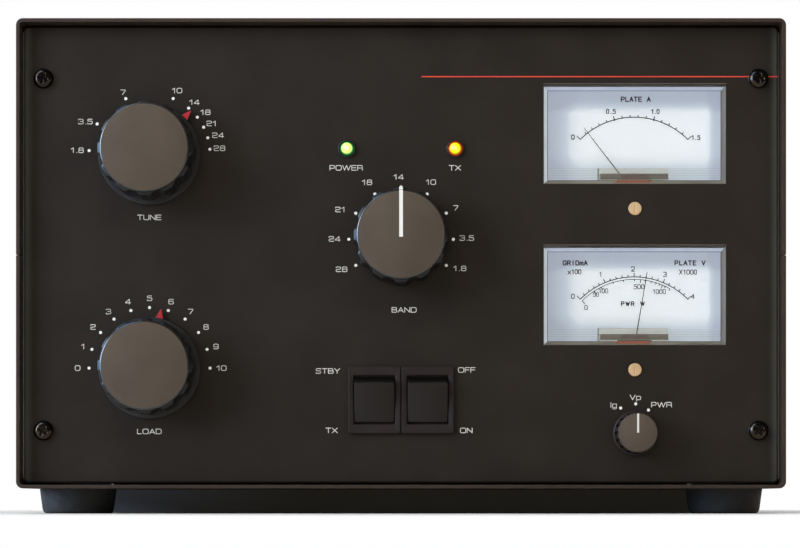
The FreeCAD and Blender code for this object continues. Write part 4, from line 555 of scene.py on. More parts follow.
# --- knobs, pointers, lamps and rockers -----------------------------------------------------------

# Places of the controls on the panel (x, z), and the y of the faces of the panel and of the rear
TUNE, LOAD, BAND, SELECT = (-120.3, 171.8), (-120.3, 69.6), (0.0, 131.2), (METER_X, 38.3)
ROCKERS, ROCKER_Z = {"standby": -12.75, "power": 12.75}, 54.3
PANEL_SCREW_X, PANEL_SCREW_Z = 171.0, (39.6, 207.9)
PANEL, REAR = -182.5, 182.5

# Radii of a large knob's grip, its cap and the disc behind it; the cutter of its scallops
GRIP, CAP, DISC = 22.5, 21.0, 24.3
SCALLOP, CUTTER, LOBES = 1.45, 5.0, 12
KNOB_LONG, KNOB_BACK, BAND_BACK = 20.0, -185.5, -183.5
SMALL_BACK, SMALL_SKIRT, SMALL_FRONT, GROOVES = -183.5, -185.1, -196.5, 16
ARROW_HALF, ARROW_TIP = 1.8, 28.8

# A pan head as shares of its radius and height, and its cross recess as shares too
SCREW_HEAD = ((1.0, 0.0), (1.0, 0.25), (0.985, 0.42), (0.94, 0.58), (0.86, 0.73), (0.76, 0.85), (0.66, 0.92),
              (0.58, 0.96), (0.5, 0.98), (0.42, 0.99), (0.34, 1.0), (0.27, 1.0), (0.2, 1.0), (0.13, 1.0),
              (0.06, 1.0), (0.0, 1.0))
RECESS_REACH, RECESS_HALF, RECESS_DEPTH = 0.51, 0.13, 0.42


def scalloped(angle, radius):
    """A round grip with shallow scallops midway between its lobes, dying out at the cap."""
    pitch = 2 * math.pi / LOBES
    away = abs((angle / pitch) % 1.0 - 0.5) * pitch
    centre = GRIP + CUTTER - SCALLOP
    square = CUTTER ** 2 - (centre * math.sin(away)) ** 2
    edge = min(GRIP, centre * math.cos(away) - math.sqrt(square)) if square > 0 else GRIP
    return radius - (GRIP - edge) * clamped((radius - CAP + 0.6) / (GRIP - CAP))


def big_knob(name, place, back, body):
    """A lobed grip with a rolled shoulder, and a flat cap with a polished rim."""
    front, centre = back - KNOB_LONG, (place[0], 0.0, place[1])
    grip, cap = Shape(), Shape()
    profile = [(3.2, -150.0), (3.2, back - 0.2), (8.0, back), (GRIP - 0.5, back), (GRIP, back - 0.6),
               (GRIP, back - 10.0), *arc((GRIP - 1.1, front + 2.4), 1.1, 0, 80), (CAP + 0.1, front + 1.2),
               (CAP - 0.4, front + 0.6), (0, front + 0.25)]
    grip.turned(profile, centre, 288, reach=scalloped)
    piece(name + "_grip", grip, ["knob_black"], body, (name + "_knob",), sharp=50)
    cap.turned([(0, front + 0.7), (CAP - 0.25, front + 0.7), (CAP, front + 0.4), (CAP, front - 1.1),
                *arc((CAP - 0.85, front - 1.15), 0.85, 0, 82, 10)], centre, 144, 1)
    cap.turned([(CAP - 0.72, front - 1.99), (CAP - 0.8, front - 1.96), (CAP - 0.88, front - 2.0),
                (0, front - 2.0)], centre, 144)
    piece(name + "_grip_face", cap, ["cap_brown", "rim_gloss"], body, (name + "_knob_cap",),
          sharp=50)


def fluted(angle, radius):
    """A small grip with narrow grooves."""
    share = abs((angle / (2 * math.pi) * GROOVES) % 1.0 - 0.5) * 2
    return radius - 0.85 * max(0.0, (share - 0.52) / 0.48) ** 0.8


def small_knob():
    """The meter knob: a plain skirt, a fluted grip and a flat cap."""
    centre = (SELECT[0], 0.0, SELECT[1])
    back, skirt, front = SMALL_BACK, SMALL_SKIRT, SMALL_FRONT
    grip, cap = Shape(), Shape()
    grip.turned([(3.1, -165.0), (3.1, back), (10.4, back), (10.7, back - 0.3), (10.7, skirt + 0.5),
                 (10.3, skirt + 0.05), (9.8, skirt)], centre, 96)
    grip.turned([(9.75, skirt + 0.05), (9.7, skirt - 0.6), (9.6, front + 0.8),
                 *arc((8.9, front + 0.75), 0.7, 0, 85), (8.6, front + 0.1), (0, front + 0.1)], centre, 256,
                reach=fluted)
    piece("select_grip", grip, ["bezel_black"], "meter_selector", ("meter_knob",), sharp=55)
    cap.turned([(0, front + 0.2), (9.1, front + 0.15), (9.2, front - 0.6),
                *arc((8.6, front - 0.7), 0.6, 0, 82)], centre, 96)
    cap.turned([(8.65, front - 1.3), (8.5, front - 1.25), (8.4, front - 1.3), (0, front - 1.3)], centre, 96)
    piece("select_face", cap, ["cap_brown"], "meter_selector", ("meter_knob_cap",), sharp=50)


def index_line(name, body, place, face, width, low, top, shoulder=None):
    """The white index: a filled groove on the cap, carried down the grip where there is a shoulder."""
    (x, z), half = place, width / 2
    mark = Shape().slab(box(x - half, x + half, z + low, z + top), face + 0.3, face - 0.04)
    if shoulder:
        out, plane, back = shoulder
        mark.slab([(x - half, z + top - 0.1), (x + half, z + top - 0.1), (x + half, z + out - 0.6),
                   (x + 0.6 * half, z + out), (x - 0.6 * half, z + out), (x - half, z + out - 0.6)], back,
                  plane, edge=0.2)
    piece(name, mark, ["index_white"], body)


def pointer_disc(name, place, turn):
    """A thin black disc behind the knob, with a red arrow standing past its edge."""
    x, z = place
    front, back = -184.9, -183.7
    disc = Shape().turned([(3.0, -160.0), (3.0, back - 0.05), (DISC - 0.3, back), (DISC, back - 0.3),
                           (DISC, front + 0.35), (DISC - 0.35, front), (6.0, front), (3.0, front)],
                          (x, 0.0, z), 144)
    cos, sin = math.cos(math.radians(turn)), math.sin(math.radians(turn))

    def spun(*spots):
        return [(x + across * cos + up * sin, z - across * sin + up * cos) for across, up in spots]

    half = ARROW_HALF + 0.05
    disc.slab(spun((-half, DISC - 1.2), (half, DISC - 1.2), (half, DISC + 0.2), (0.0, ARROW_TIP + 0.1),
                   (-half, DISC + 0.2)), back - 0.05, front + 0.1)
    disc.slab(spun((-ARROW_HALF, DISC - 0.05), (ARROW_HALF, DISC - 0.05), (0.0, ARROW_TIP)), front + 0.2,
              front - 0.02, 1)
    piece(name + "_arrow", disc, ["disc_black", "arrow_red"], name + "_dial",
          (name + "_pointer",), sharp=40)


def pan_screw(shape, place, seat, radius, height, facing=1, sides=72, finish=0):
    """A pan head with a cross recess, turned at random; facing -1 looks forward along Y, 1 back."""
    turn, rows = CHANCE.uniform(0.1, 1.4), []
    for share, rise in SCREW_HEAD:
        row = []
        for angle in ring_angles(sides if share else 1):
            away = share * min(abs(math.sin(angle)), abs(math.cos(angle)))
            wall, end = clamped((RECESS_HALF - away) / 0.05), clamped((RECESS_REACH - share) / 0.08)
            depth = RECESS_DEPTH * wall * end
            row.append((place[0] + radius * share * math.sin(angle + turn),
                        seat + facing * height * (rise - depth),
                        place[1] + radius * share * math.cos(angle + turn)))
        rows.append(row)
    return shape.skin(rows, finish)


def panel_screws():
    heads = Shape()
    for x in (-PANEL_SCREW_X, PANEL_SCREW_X):
        for z in PANEL_SCREW_Z:
            pan_screw(heads, (x, z), PANEL, 4.72, 2.95, -1)
            heads.turned([(4.9, PANEL), (4.9, PANEL - 0.12), (4.6, PANEL - 0.12)], (x, 0, z))
    piece("front_screws", heads, ["bronzed_steel"], "cabinet", ("panel_screws",), sharp=60)


def lamps():
    """Domed lenses, each in a moulded ring with a rolled edge."""
    rings = Shape()
    dome = [(2.85 * math.cos(a), PANEL - 1.0 - 2.4 * math.sin(a))
            for a in (math.radians(10 * i) for i in range(1, 9))]
    for name, x, glass, node in (("power_lens", GREEN_X, "green", "power_led"),
                                 ("tx_lens", AMBER_X, "amber", "tx_led")):
        centre = (x, 0, LAMP_Z)
        lens = Shape().turned([(3.0, -178.0), (2.85, PANEL), (3.6, PANEL - 0.1), (3.62, PANEL - 0.5),
                               (3.5, PANEL - 0.75), (2.95, PANEL - 0.85), (2.85, PANEL - 1.0), *dome,
                               (0, PANEL - 3.4)], centre, 64)
        piece(name, lens, [glass + "_lens"], "cabinet", (node,), sharp=60)
        rings.turned([(4.15, PANEL), (4.15, PANEL - 0.9), *arc((3.9, PANEL - 1.0), 0.25, 0, 180, 8),
                      (3.64, PANEL - 0.4), (3.64, PANEL + 0.02), (3.05, PANEL + 0.05), (3.05, PANEL + 2.0)],
                     centre, 64)
    piece("lamp_rings", rings, ["ring_black"], "cabinet", ("led_bezels",), sharp=60)


def rocker_bezel(name):
    """A switch frame with a rolled edge and a deep pocket, and its body with two tabs behind the panel."""
    x, z = ROCKERS[name], ROCKER_Z
    outer = rounded_box(x - 12.5, x + 12.5, z - 16.0, z + 16.0, 1.2)
    inner = rounded_box(x - 9.9, x + 9.9, z - 11.7, z + 11.7, 0.5)
    body = rounded_box(x - 10.7, x + 10.7, z - 14.0, z + 14.0, 0.8)
    made = Shape().layered([(outer, PANEL), (outer, PANEL - 1.75), (shrunk(outer, 0.1), PANEL - 1.9),
                            (shrunk(outer, 0.22), PANEL - 2.0), (shrunk(inner, -0.45), PANEL - 2.0),
                            (shrunk(inner, -0.15), PANEL - 1.88), (inner, PANEL - 1.55),
                            (inner, PANEL + 9.9)])
    made.slab(body, PANEL + 20.0, PANEL + 10.2, edge=0.3)
    made.slab(body, PANEL + 10.3, PANEL + 0.4)
    for rise in (-7.0, 7.0):
        made.slab(box(x - 2.4, x + 2.4, z + rise - 0.4, z + rise + 0.4), PANEL + 26.0, PANEL + 19.9, 1)
    piece(name + "_bezel", made, ["bezel_black", "brass"], "cabinet", (name + "_switch",),
          sharp=30)


def rocker_key(name):
    """A rocker key: a flat, faintly dished face between ends that curve about the pivot."""
    x, pivot, radius, rise, half = ROCKERS[name], -179.6, 11.35, 6.45, 9.6
    lean, steps = math.radians(14.0), 10
    flat, low = math.acos(rise / radius), math.asin(2.9 / radius)
    turns = [flat + (math.pi / 2 + low - flat) * i / steps for i in range(steps + 1)]
    above = [(-radius * math.cos(t), radius * math.sin(t)) for t in turns]
    dished = [(-rise + 0.16 * (1 - (2 * i / 7 - 1) ** 2), radius * math.sin(flat) * (1 - 2 * i / 7))
              for i in range(1, 7)]
    side = above[::-1] + dished + [(y, -up) for y, up in above]
    rows = []
    for edge, inset in ((-half, 0.5), (-half + 0.5, 0.0), (half - 0.5, 0.0), (half, 0.5)):
        pull = 1 - inset / radius
        rows.append([(x + edge, pivot + pull * (y * math.cos(lean) - up * math.sin(lean)),
                      ROCKER_Z + pull * (y * math.sin(lean) + up * math.cos(lean))) for y, up in side])
    piece(name + "_key", Shape().skin(rows, first=True, last=True), ["rocker_black"], name + "_rocker",
          (name + "_rocker",), sharp=50, bevel=0.35)


big_knob("tune", TUNE, KNOB_BACK, "tune_knob")
big_knob("load", LOAD, KNOB_BACK, "load_knob")
big_knob("band", BAND, BAND_BACK, "band_selector")
small_knob()
index_line("band_index", "band_selector", BAND, BAND_BACK - 22.0, 1.75, -1.25, 20.7,
           (22.6, BAND_BACK - 21.4, BAND_BACK - 1.0))
index_line("select_index", "meter_selector", SELECT, SMALL_FRONT - 1.3, 0.95, 0.0, 9.0)
pointer_disc("tune", TUNE, 44.3)
pointer_disc("load", LOAD, 11.7)
panel_screws()
lamps()
for make in (rocker_bezel, rocker_key):
    for name in ROCKERS:
        make(name)


# --- lettering: a wide stroke alphabet for the panel and a plotter alphabet for the dials ---------

# The plane of the panel's print; the height and width of its letters' strokes, and its dots' radius
INK = PANEL - 0.02
LETTER, PEN, DOT, LETTER_GAP = 2.58, 0.33, 0.74, 2.6
PANEL_STEP, DIAL_STEP = 0.4781, 0.4827
TUNE_DOTS, LOAD_DOTS, BAND_DOTS, LOAD_SIGNS = 28.97, 28.95, 25.0, 33.4


def signs(table):
    """An alphabet from its table. Each line has a sign, its width, the radius of its corners and its
    strokes, as x,y on a grid on which a capital is 10 high; a bar parts the strokes."""
    alphabet = {}
    for line in table.strip().splitlines():
        sign, width, radius, strokes = line.split(None, 3)
        alphabet[sign] = (float(width), float(radius), [
            [tuple(float(part) for part in spot.split(",")) for spot in path.split()]
            for path in strokes.split("/")])
    return alphabet


WIDE = signs("""
0 9.5 3.2 0,0 9.5,0 9.5,10 0,10 0,0
1 6.4 0 0.2,7.2 4.4,10 4.4,0
2 9.5 2.6 0.3,8 0.3,10 9.2,10 9.2,5.4 0.3,4.4 0.3,0 9.4,0
3 9.3 2.6 0.3,8.4 0.3,10 9,10 9,5.2 3.4,5.2 / 3.4,5.2 9.2,5.2 9.2,0 0.2,0 0.2,1.8
4 9.6 0 7.4,0 7.4,10 0.2,3.4 0.2,2.5 9.6,2.5
5 9.4 2.4 8.8,10 0.6,10 0.4,5.9 9.2,5.9 9.2,0 0.2,0 0.2,1.8
6 9.4 2.8 8.8,8.6 8.8,10 0.2,10 0.2,0 9.2,0 9.2,5.8 0.4,5.8
7 8.6 0.6 0,10 8.6,10 8.6,8.2 3.2,0
8 9.6 2.6 0.6,5.3 9,5.3 9,10 0.6,10 0.6,5.3 / 0.2,5.3 9.4,5.3 9.4,0 0.2,0 0.2,5.3
9 9.4 2.8 0.6,1.4 0.6,0 9.2,0 9.2,10 0.2,10 0.2,4.2 9,4.2
. 3 0 2,0 2.4,0
A 10 0 0,0 5,10 10,0 / 1.7,3.3 8.3,3.3
B 9.4 2.4 0,5.2 8.8,5.2 8.8,10 0,10 / 0,5.2 9.4,5.2 9.4,0 0,0 / 0,0 0,10
D 9.8 3.4 0,0 9.8,0 9.8,10 0,10 / 0,0 0,10
E 8.6 0 8.6,10 0,10 0,0 8.6,0 / 0,5.1 7.8,5.1
F 8.4 0 8.4,10 0,10 0,0 / 0,5.1 7.6,5.1
I 0.4 0 0.2,0 0.2,10
L 8 0 0,10 0,0 8,0
N 9.8 0 0,0 0,10 9.8,0 9.8,10
O 10.4 3.2 0,0 10.4,0 10.4,10 0,10 0,0
P 9 2.8 0,4 9,4 9,10 0,10 / 0,0 0,10
R 9.6 2.6 0,4.6 9.2,4.6 9.2,10 0,10 / 0,0 0,10 / 5.6,4.6 9.4,4 9.4,0
S 9.4 2.4 8.8,8.6 8.8,10 0.4,10 0.4,5.2 9.2,5.2 9.2,0 0.2,0 0.2,1.6
T 9.4 0 0,10 9.4,10 / 4.7,10 4.7,0
U 9.8 3 0,10 0,0 9.8,0 9.8,10
V 9.8 0 0,10 4.9,0 9.8,10
W 15 0 0,10 3.8,0 7.5,10 11.2,0 15,10
X 10 0 0,0 10,10 / 0,10 10,0
Y 9.8 0 0,10 4.9,4.8 9.8,10 / 4.9,4.8 4.9,0
g 8.2 2.2 8,0 0.2,0 0.2,7.2 8,7.2 / 8,7.2 8,-3 0.6,-3
p 8.2 2.2 0,0 8,0 8,7.2 0,7.2 / 0,7.2 0,-3
""")

PLOTTED = signs("""
0 5.6 2.8 0,0 0,10 5.6,10 5.6,0 0,0
1 3 0 0.2,8 2.4,10 2.4,0
2 6 1.8 0,7.8 0,10 6,10 6,5.6 0.2,1.2 0,0 6,0
3 6 1.8 0,10 6,10 6,5.4 2.4,5.4 / 2.4,5.4 6,5.4 6,0 0,0 0,1.6
4 6.4 0 4.8,0 4.8,10 0,3.2 6.4,3.2
5 6 1.6 5.6,10 0.6,10 0.2,5.8 6,6.4 6,0 0,0 0,1.4
6 6 1.8 5.4,10 0,10 0,0 6,0 6,5.8 0,5.8
7 6 0 0,10 6,10 2,0
8 6 1.8 0.3,5.4 5.7,5.4 5.7,10 0.3,10 0.3,5.4 / 0,5.4 6,5.4 6,0 0,0 0,5.4
9 6 1.8 0.6,0 6,0 6,10 0,10 0,4.4 6,4.4
. 0.6 0 0,0 0.5,0
A 6.6 0 0,0 3.3,10 6.6,0 / 1.1,3.4 5.5,3.4
D 6 2.2 0,0 6,0 6,10 0,10 / 0,0 0,10
E 5.6 0 5.6,10 0,10 0,0 5.6,0 / 0,5.2 4.6,5.2
G 6.2 2.2 6,8 6,10 0,10 0,0 6.2,0 6.2,4.6 / 6.2,4.6 3.6,4.6
I 0.4 0 0.2,0 0.2,10
L 5.4 0 0,10 0,0 5.4,0
P 5.8 1.8 0,4.6 5.8,4.6 5.8,10 0,10 / 0,0 0,10
R 6 1.8 0,4.8 5.8,4.8 5.8,10 0,10 / 0,0 0,10 / 3.2,4.8 6,0
T 6.4 0 0,10 6.4,10 / 3.2,10 3.2,0
V 6.6 0 0,10 3.3,0 6.6,10
W 8.6 0 0,10 2.2,0 4.3,8 6.4,0 8.6,10
X 6.4 0 0,0 6.4,10 / 0,10 6.4,0
m 7.6 1.2 0,0 0,6.8 3.8,6.8 3.8,0 / 3.8,6.8 7.6,6.8 7.6,0
x 5.4 0 0,0 5.4,6.8 / 0,6.8 5.4,0
""")


def eased(path, radius, steps=4):
    """A path with its inner corners rounded, radius at most half of each run."""
    path = [Vector(p) for p in path]
    if not radius:
        return path
    shut = (path[0] - path[-1]).length < 1e-6
    path, out = path[:-1] if shut else path, []
    for i, here in enumerate(path):
        if not shut and i in (0, len(path) - 1):
            out.append(here)
            continue
        back, on = path[i - 1] - here, path[(i + 1) % len(path)] - here
        pull = min(radius, back.length / 2, on.length / 2)
        start, end = here + back.normalized() * pull, here + on.normalized() * pull
        for t in (step / steps for step in range(steps + 1)):
            out.append(start * (1 - t) ** 2 + here * 2 * t * (1 - t) + end * t ** 2)
    return out + [out[0]] if shut else out


def word(shape, text, middle):
    """Prints a word on the panel about its middle (x, z)."""
    unit = (LETTER - PEN) / 10
    wide, foot = 1.1 * unit, middle[1] - 5 * unit
    at = middle[0] - (sum(WIDE[sign][0] for sign in text) + LETTER_GAP * (len(text) - 1)) * wide / 2
    for sign in text:
        width, radius, strokes = WIDE[sign]
        for path in strokes:
            shape.stroke([(at + x * wide, foot + y * unit) for x, y in eased(path, radius)], PEN, INK)
        at += (width + LETTER_GAP) * wide


def front_spot(px, py, step):
    """A place on a plane that faces the camera from its place in the front view, 800 by 548 steps;
    step is the width of one of them at that plane, in millimetres."""
    return (-0.5 + (px - 400) * step, 6.5 + (500 - py) * step)


# Each sign of a scale with the place of its middle in the front view; on TUNE the angle of its dot too
TUNE_SCALE = (("1.8", -86.4, 77.2, 150.1), ("3.5", -59.8, 85.3, 121.4), ("7", -23.1, 122.9, 92.1),
              ("10", 22.9, 177.0, 90.4), ("14", 40.2, 194.3, 102.1), ("18", 52.1, 205.4, 112.1),
              ("21", 63.3, 211.4, 123.3), ("24", 74.1, 217.9, 135.1), ("28", 85.2, 219.4, 148.1))
BAND_SCALE = (("28", 341.6, 269.2), ("24", 334.5, 238.8), ("21", 340.2, 209.4), ("18", 367.1, 182.2),
              ("14", 398.6, 176.8), ("10", 430.9, 182.0), ("7", 455.6, 207.8), ("3.5", 466.9, 237.9),
              ("1.8", 459.9, 268.3))
WORDS = (("TUNE", 149.2, 217.3), ("LOAD", 149.2, 431.4), ("BAND", 404.1, 309.8), ("POWER", 346.2, 167.7),
         ("TX", 454.9, 167.7), ("STBY", 327.8, 370.9), ("TX", 331.6, 430.4), ("OFF", 466.8, 369.9),
         ("ON", 466.3, 430.4), ("Ig", 613.8, 405.0), ("Vp", 635.5, 397.3), ("PWR", 661.7, 404.7))
METER_DOTS = ((620.8, 408.0), (635.8, 403.8), (648.6, 410.0))


def panel_print():
    ink, marks = Shape(), Shape()

    def dot(spot):
        marks.add([(spot[0] + DOT * math.cos(a), INK, spot[1] + DOT * math.sin(a))
                   for a in ring_angles(20)], [tuple(range(20))])

    for text, angle, px, py in TUNE_SCALE:
        dot(around(TUNE, TUNE_DOTS, angle))
        word(ink, text, front_spot(px, py, PANEL_STEP))
    for number in range(11):
        angle = -90 + 18 * number
        dot(around(LOAD, LOAD_DOTS, angle))
        word(ink, str(number), around(LOAD, LOAD_SIGNS + (number in (0, 10)), angle))
    for number, (text, px, py) in enumerate(BAND_SCALE):
        dot(around(BAND, BAND_DOTS, -120 + 30 * number))
        word(ink, text, front_spot(px, py, PANEL_STEP))
    for px, py in METER_DOTS:
        dot(front_spot(px, py, PANEL_STEP))
    for text, px, py in WORDS:
        word(ink, text, front_spot(px, py, PANEL_STEP))
    line = Shape().stroke([(10.0, 209.0), (180.3, 209.0)], 0.55, INK)
    for name, shape, finish in (("panel_print", ink, "print_white"), ("panel_dots", marks, "dot_white"),
                                ("panel_line", line, "print_red")):
        piece(name, shape, [finish], "cabinet", printed=True)


panel_print()


# --- meters ---------------------------------------------------------------------------------------

# A window's cover, half its width and height; the centre of a dial's scale against the needle's pivot
HALF_WIDE, HALF_HIGH = 43.53, 23.68
SCALE_X, SCALE_DROP, SCALE_END = 112.5, 0.2, 45
ARC, INNER_ARC = 36.7, 35.5

# Planes from the dial forward, and the cover's walls with the opening at their foot
DIAL_INK, STRIP_PLANE, RIM_PLANE, PANE_BACK = -171.54, -180.7, -180.98, -181.1
WALL_FRONT, WALL_BACK, WALL_THICK, NOTCH_HALF = -180.9, -171.8, 0.5, 17.6
YOKE, BRIDGE = -173.22, -175.7

# Words on the dials: the place in the front view, the height, the stroke's width and the cell's
PLATE_WORDS = (("PLATE A", 635.8, 99.2, 2.6, 0.52, 2.09), ("0", 572.9, 137.1, 2.5, 0.46, 1.95),
               ("0.5", 610.9, 111.4, 2.5, 0.46, 1.55), ("1.0", 655.2, 111.6, 2.5, 0.46, 1.4),
               ("1.5", 695.7, 137.5, 2.5, 0.46, 1.5))
GRID_WORDS = (("GRIDmA", 575.2, 262.9, 2.5, 0.52, 2.03), ("x100", 574.5, 271.8, 2.5, 0.4, 1.68),
              ("PLATE V", 690.0, 262.9, 2.5, 0.52, 2.18), ("X1000", 688.1, 272.1, 2.5, 0.4, 1.76),
              ("PWR W", 632.6, 303.7, 2.4, 0.52, 2.38), ("0", 572.9, 296.3, 2.5, 0.38, 1.95),
              ("1", 600.4, 274.4, 2.5, 0.38, 1.95), ("2", 633.0, 269.0, 2.5, 0.38, 1.95),
              ("3", 664.8, 274.4, 2.5, 0.38, 1.95), ("4", 692.8, 296.3, 2.5, 0.38, 1.95),
              ("0", 586.0, 307.5, 2.5, 0.38, 1.95), ("50", 596.0, 294.5, 2.2, 0.33, 1.53),
              ("100", 603.2, 290.9, 2.5, 0.35, 1.65), ("500", 639.0, 286.7, 2.5, 0.35, 1.81),
              ("1000", 659.1, 291.6, 2.5, 0.35, 1.69))
# Angle and length of the power scale's marks
POWER_MARKS = {-45: 2.0, -32.7: 1.5, -26.6: 1.5, -16.6: 0.8, -8.5: 0.8, 0.2: 0.8, 5.0: 1.5, 8.8: 0.8,
               13.6: 0.8, 17.5: 0.8, 20.3: 0.8, 22.7: 1.6, 25.2: 0.8, 29.2: 1.0}


def plotted(shape, text, middle, height, pen, cell):
    """Dial lettering, drawn by a plotter: every sign fills a cell of one width."""
    unit = (height - pen) / 10
    at, foot = middle[0] - cell * len(text) / 2, middle[1] - 5 * unit
    for sign in text:
        if sign != " ":
            width, radius, strokes = PLOTTED[sign]
            wide = min(0.72 * cell / width, 1.15 * unit)
            start = at + (cell - width * wide) / 2
            for path in strokes:
                shape.stroke([(start + x * wide, foot + y * unit) for x, y in eased(path, radius)], pen,
                             DIAL_INK)
        at += cell


def dial_print(meter, arcs, pitch, pen, fifth, words, marks=None):
    """A scale with arcs (radius, end, width), a tick at every pitch in degrees and a longer one, fifth
    (foot, tip), at every fifth; words, and marks below the inner arc."""
    ink, count = Shape(), round(2 * SCALE_END / pitch)
    centre = (SCALE_X, METERS[meter][1] - SCALE_DROP)

    def tick(angle, inner, outer, width):
        ink.stroke([around(centre, inner, angle), around(centre, outer, angle)], width, DIAL_INK)

    for radius, end, width in arcs:
        turn = end + SCALE_END
        steps = int(turn / 1.5)
        ink.stroke([around(centre, radius, turn * i / steps - SCALE_END) for i in range(steps + 1)], width,
                   DIAL_INK)
    for step in range(count + 1):
        foot, tip, width = 0.0, 1.05, pen
        if step in (0, count):
            tip = 2.1
        elif step % 5 == 0:
            (foot, tip), width = fifth, pen + 0.02
        tick(pitch * step - SCALE_END, ARC + foot, ARC + tip, width)
    for angle, length in (marks or {}).items():
        tick(angle, INNER_ARC - length, INNER_ARC, 0.4)
    for text, px, py, height, width, cell in words:
        plotted(ink, text, front_spot(px, py, DIAL_STEP), height, width, cell)
    piece(meter + "_print", ink, ["dial_ink"], "cabinet", printed=True)


def window_box(middle, left, right, top, bottom):
    """The corners of a rectangle drawn in from the edge of the window's cover."""
    return box(METER_X - HALF_WIDE + left, METER_X + HALF_WIDE - right, middle - HALF_HIGH + bottom,
               middle + HALF_HIGH - top)


def window_cover(meter, middle):
    """A clear moulded cover: a pane and thin side walls, open at the foot where the movement stands."""
    (left, low), _, (right, high), _ = window_box(middle, 0, 0, 0, 0)
    outer = rounded_box(left, right, low, high, 0.7)
    inner = rounded_box(left + WALL_THICK, right - WALL_THICK, low + WALL_THICK, high - WALL_THICK, 0.35)
    cover = Shape().layered([(shrunk(outer, 0.3), -181.9), (outer, -181.6), (outer, PANE_BACK)], first=True)
    bottom_right = 3 * len(outer) // 4

    def band(outline, foot, along):
        """The wall's outline from one side of the opening at its foot round to the other."""
        ring = [(METER_X + NOTCH_HALF, foot), *outline[bottom_right:], *outline[:bottom_right],
                (METER_X - NOTCH_HALF, foot)]
        return [(x, along, z) for x, z in ring]

    # the walls carry the rim's painted glow
    wall = (band(outer, low, WALL_FRONT), band(inner, low + WALL_THICK, WALL_FRONT),
            band(inner, low + WALL_THICK, WALL_BACK), band(outer, low, WALL_BACK))
    cover.skin(list(zip(*wall)), 1, first=True, last=True)
    piece(meter + "_cover", cover, ["clear_plastic", "edge_glow"], "cabinet",
          (meter + "_meter_window",), sharp=30)


def window_rim(meter, middle):
    """The rim of a cover as it shows from the front: bevelled sides in painted light and shade, lines where
    they meet, a painted glint of the coil at the foot, a painted highlight on the panel's cut edge above,
    and a milky strip with ribs."""
    rim, strip = Shape(), Shape()
    rings = (window_box(middle, 0, 0, 0, 0), window_box(middle, 0.25, 0.75, 0.9, 0.3),
             window_box(middle, 1.72, 2.2, 2.75, 1.6))
    # painted light and shade: each side of each band has its own lit or shaded colour
    for wide, close, finishes in zip(rings, rings[1:], ((1, 5, 1, 9), (2, 6, 0, 9))):
        for side, finish in enumerate(finishes):
            after = (side + 1) % 4
            rim.add([(x, RIM_PLANE, z) for x, z in (wide[side], wide[after], close[after], close[side])],
                    [(0, 1, 2, 3)], finish)
    line = rings[2]
    for side, (width, finish) in enumerate(((0.3, 4), (0.5, 3), (0.26, 3), (0.3, 3))):
        rim.stroke([line[side], line[(side + 1) % 4]], width, RIM_PLANE - 0.03, finish)
    (left, low), _, (right, high), _ = rings[0]
    # painted reflections of the coil on the foot of the rim
    for rise, width, finish in ((1.0, 0.62, 8), (1.46, 0.26, 7)):
        rim.stroke([(102.9, low + rise), (119.1, low + rise)], width, RIM_PLANE - 0.06, finish)
    # painted highlight: the panel's cut edge above the window, catching the light
    rim.stroke([(left - 0.1, high + 0.42), (right + 0.1, high + 0.42)], 0.5, PANEL - 0.01, 4)
    piece(meter + "_cover_rim", rim, ["edge_glow", "edge_shade", "edge_beige", "edge_line", "edge_brown",
                                      "edge_pale", "edge_grey", "coil_highlight", "coil_glint", "edge_white"],
          "cabinet", printed=True)
    (left, foot), (right, _), top = line[0], line[1], middle - 16.3
    strip.add([(x, STRIP_PLANE, z) for x, z in box(left, right, foot + 0.1, top)], [(0, 1, 2, 3)])
    for rib in range(5):
        rise = top - 1.12 * rib
        strip.stroke([(left + 0.2, rise), (right - 0.2, rise)], 0.12, STRIP_PLANE - 0.04, 1)
    piece(meter + "_cover_strip", strip, ["strip_milk", "strip_line"], "cabinet",
          printed=True)


def movement_front(meter, pivot):
    """What shows above the panel's edge: the yoke's top plate behind the pointer and, before the pointer,
    a bridge on two legs with its springs and copper turns. The coil swings between the two."""
    x, plates = METER_X + 0.2, Shape()
    for left, right, low, high, back, front, finish in (
            (-16.7, 16.7, 8.7, 11.5, YOKE, -173.8, 0), (-16.4, -14.6, 2.5, 8.5, YOKE, BRIDGE, 0),
            (14.6, 16.4, 2.5, 8.5, YOKE, BRIDGE, 0), (-16.5, 16.5, 2.5, 8.5, BRIDGE, -176.1, 0),
            (-16.4, 16.4, 5.8, 8.6, BRIDGE, -176.22, 1), (-6.4, 7.1, 5.9, 8.5, BRIDGE, -176.26, 4),
            (-8.2, 8.4, 3.2, 5.7, BRIDGE, -176.2, 5)):
        plates.slab(box(x + left, x + right, pivot + low, pivot + high), back, front, finish, 0.06)
    for across in (-12.7, 10.3, 13.5):
        plates.turned([(0.6, BRIDGE), (0.6, -176.6), (0.45, -176.8), (0, -176.85)],
                      (x + across, 0, pivot + 4.6), 20, 3)
    for turn in range(6):
        rise = pivot + 3.5 + 0.36 * turn
        plates.wire([(x - 4.6, -176.22, rise), (x - 2.0, -176.26, rise + 0.08),
                     (x + 2.2, -176.26, rise - 0.05), (x + 5.0, -176.22, rise)], 0.15, 2)
    piece(meter + "_movement_front", plates, ["yoke_grey", "yoke_shade", "copper_wire", "pole_white",
                                              "yoke_rust", "coil_dark"], "cabinet", sharp=30)


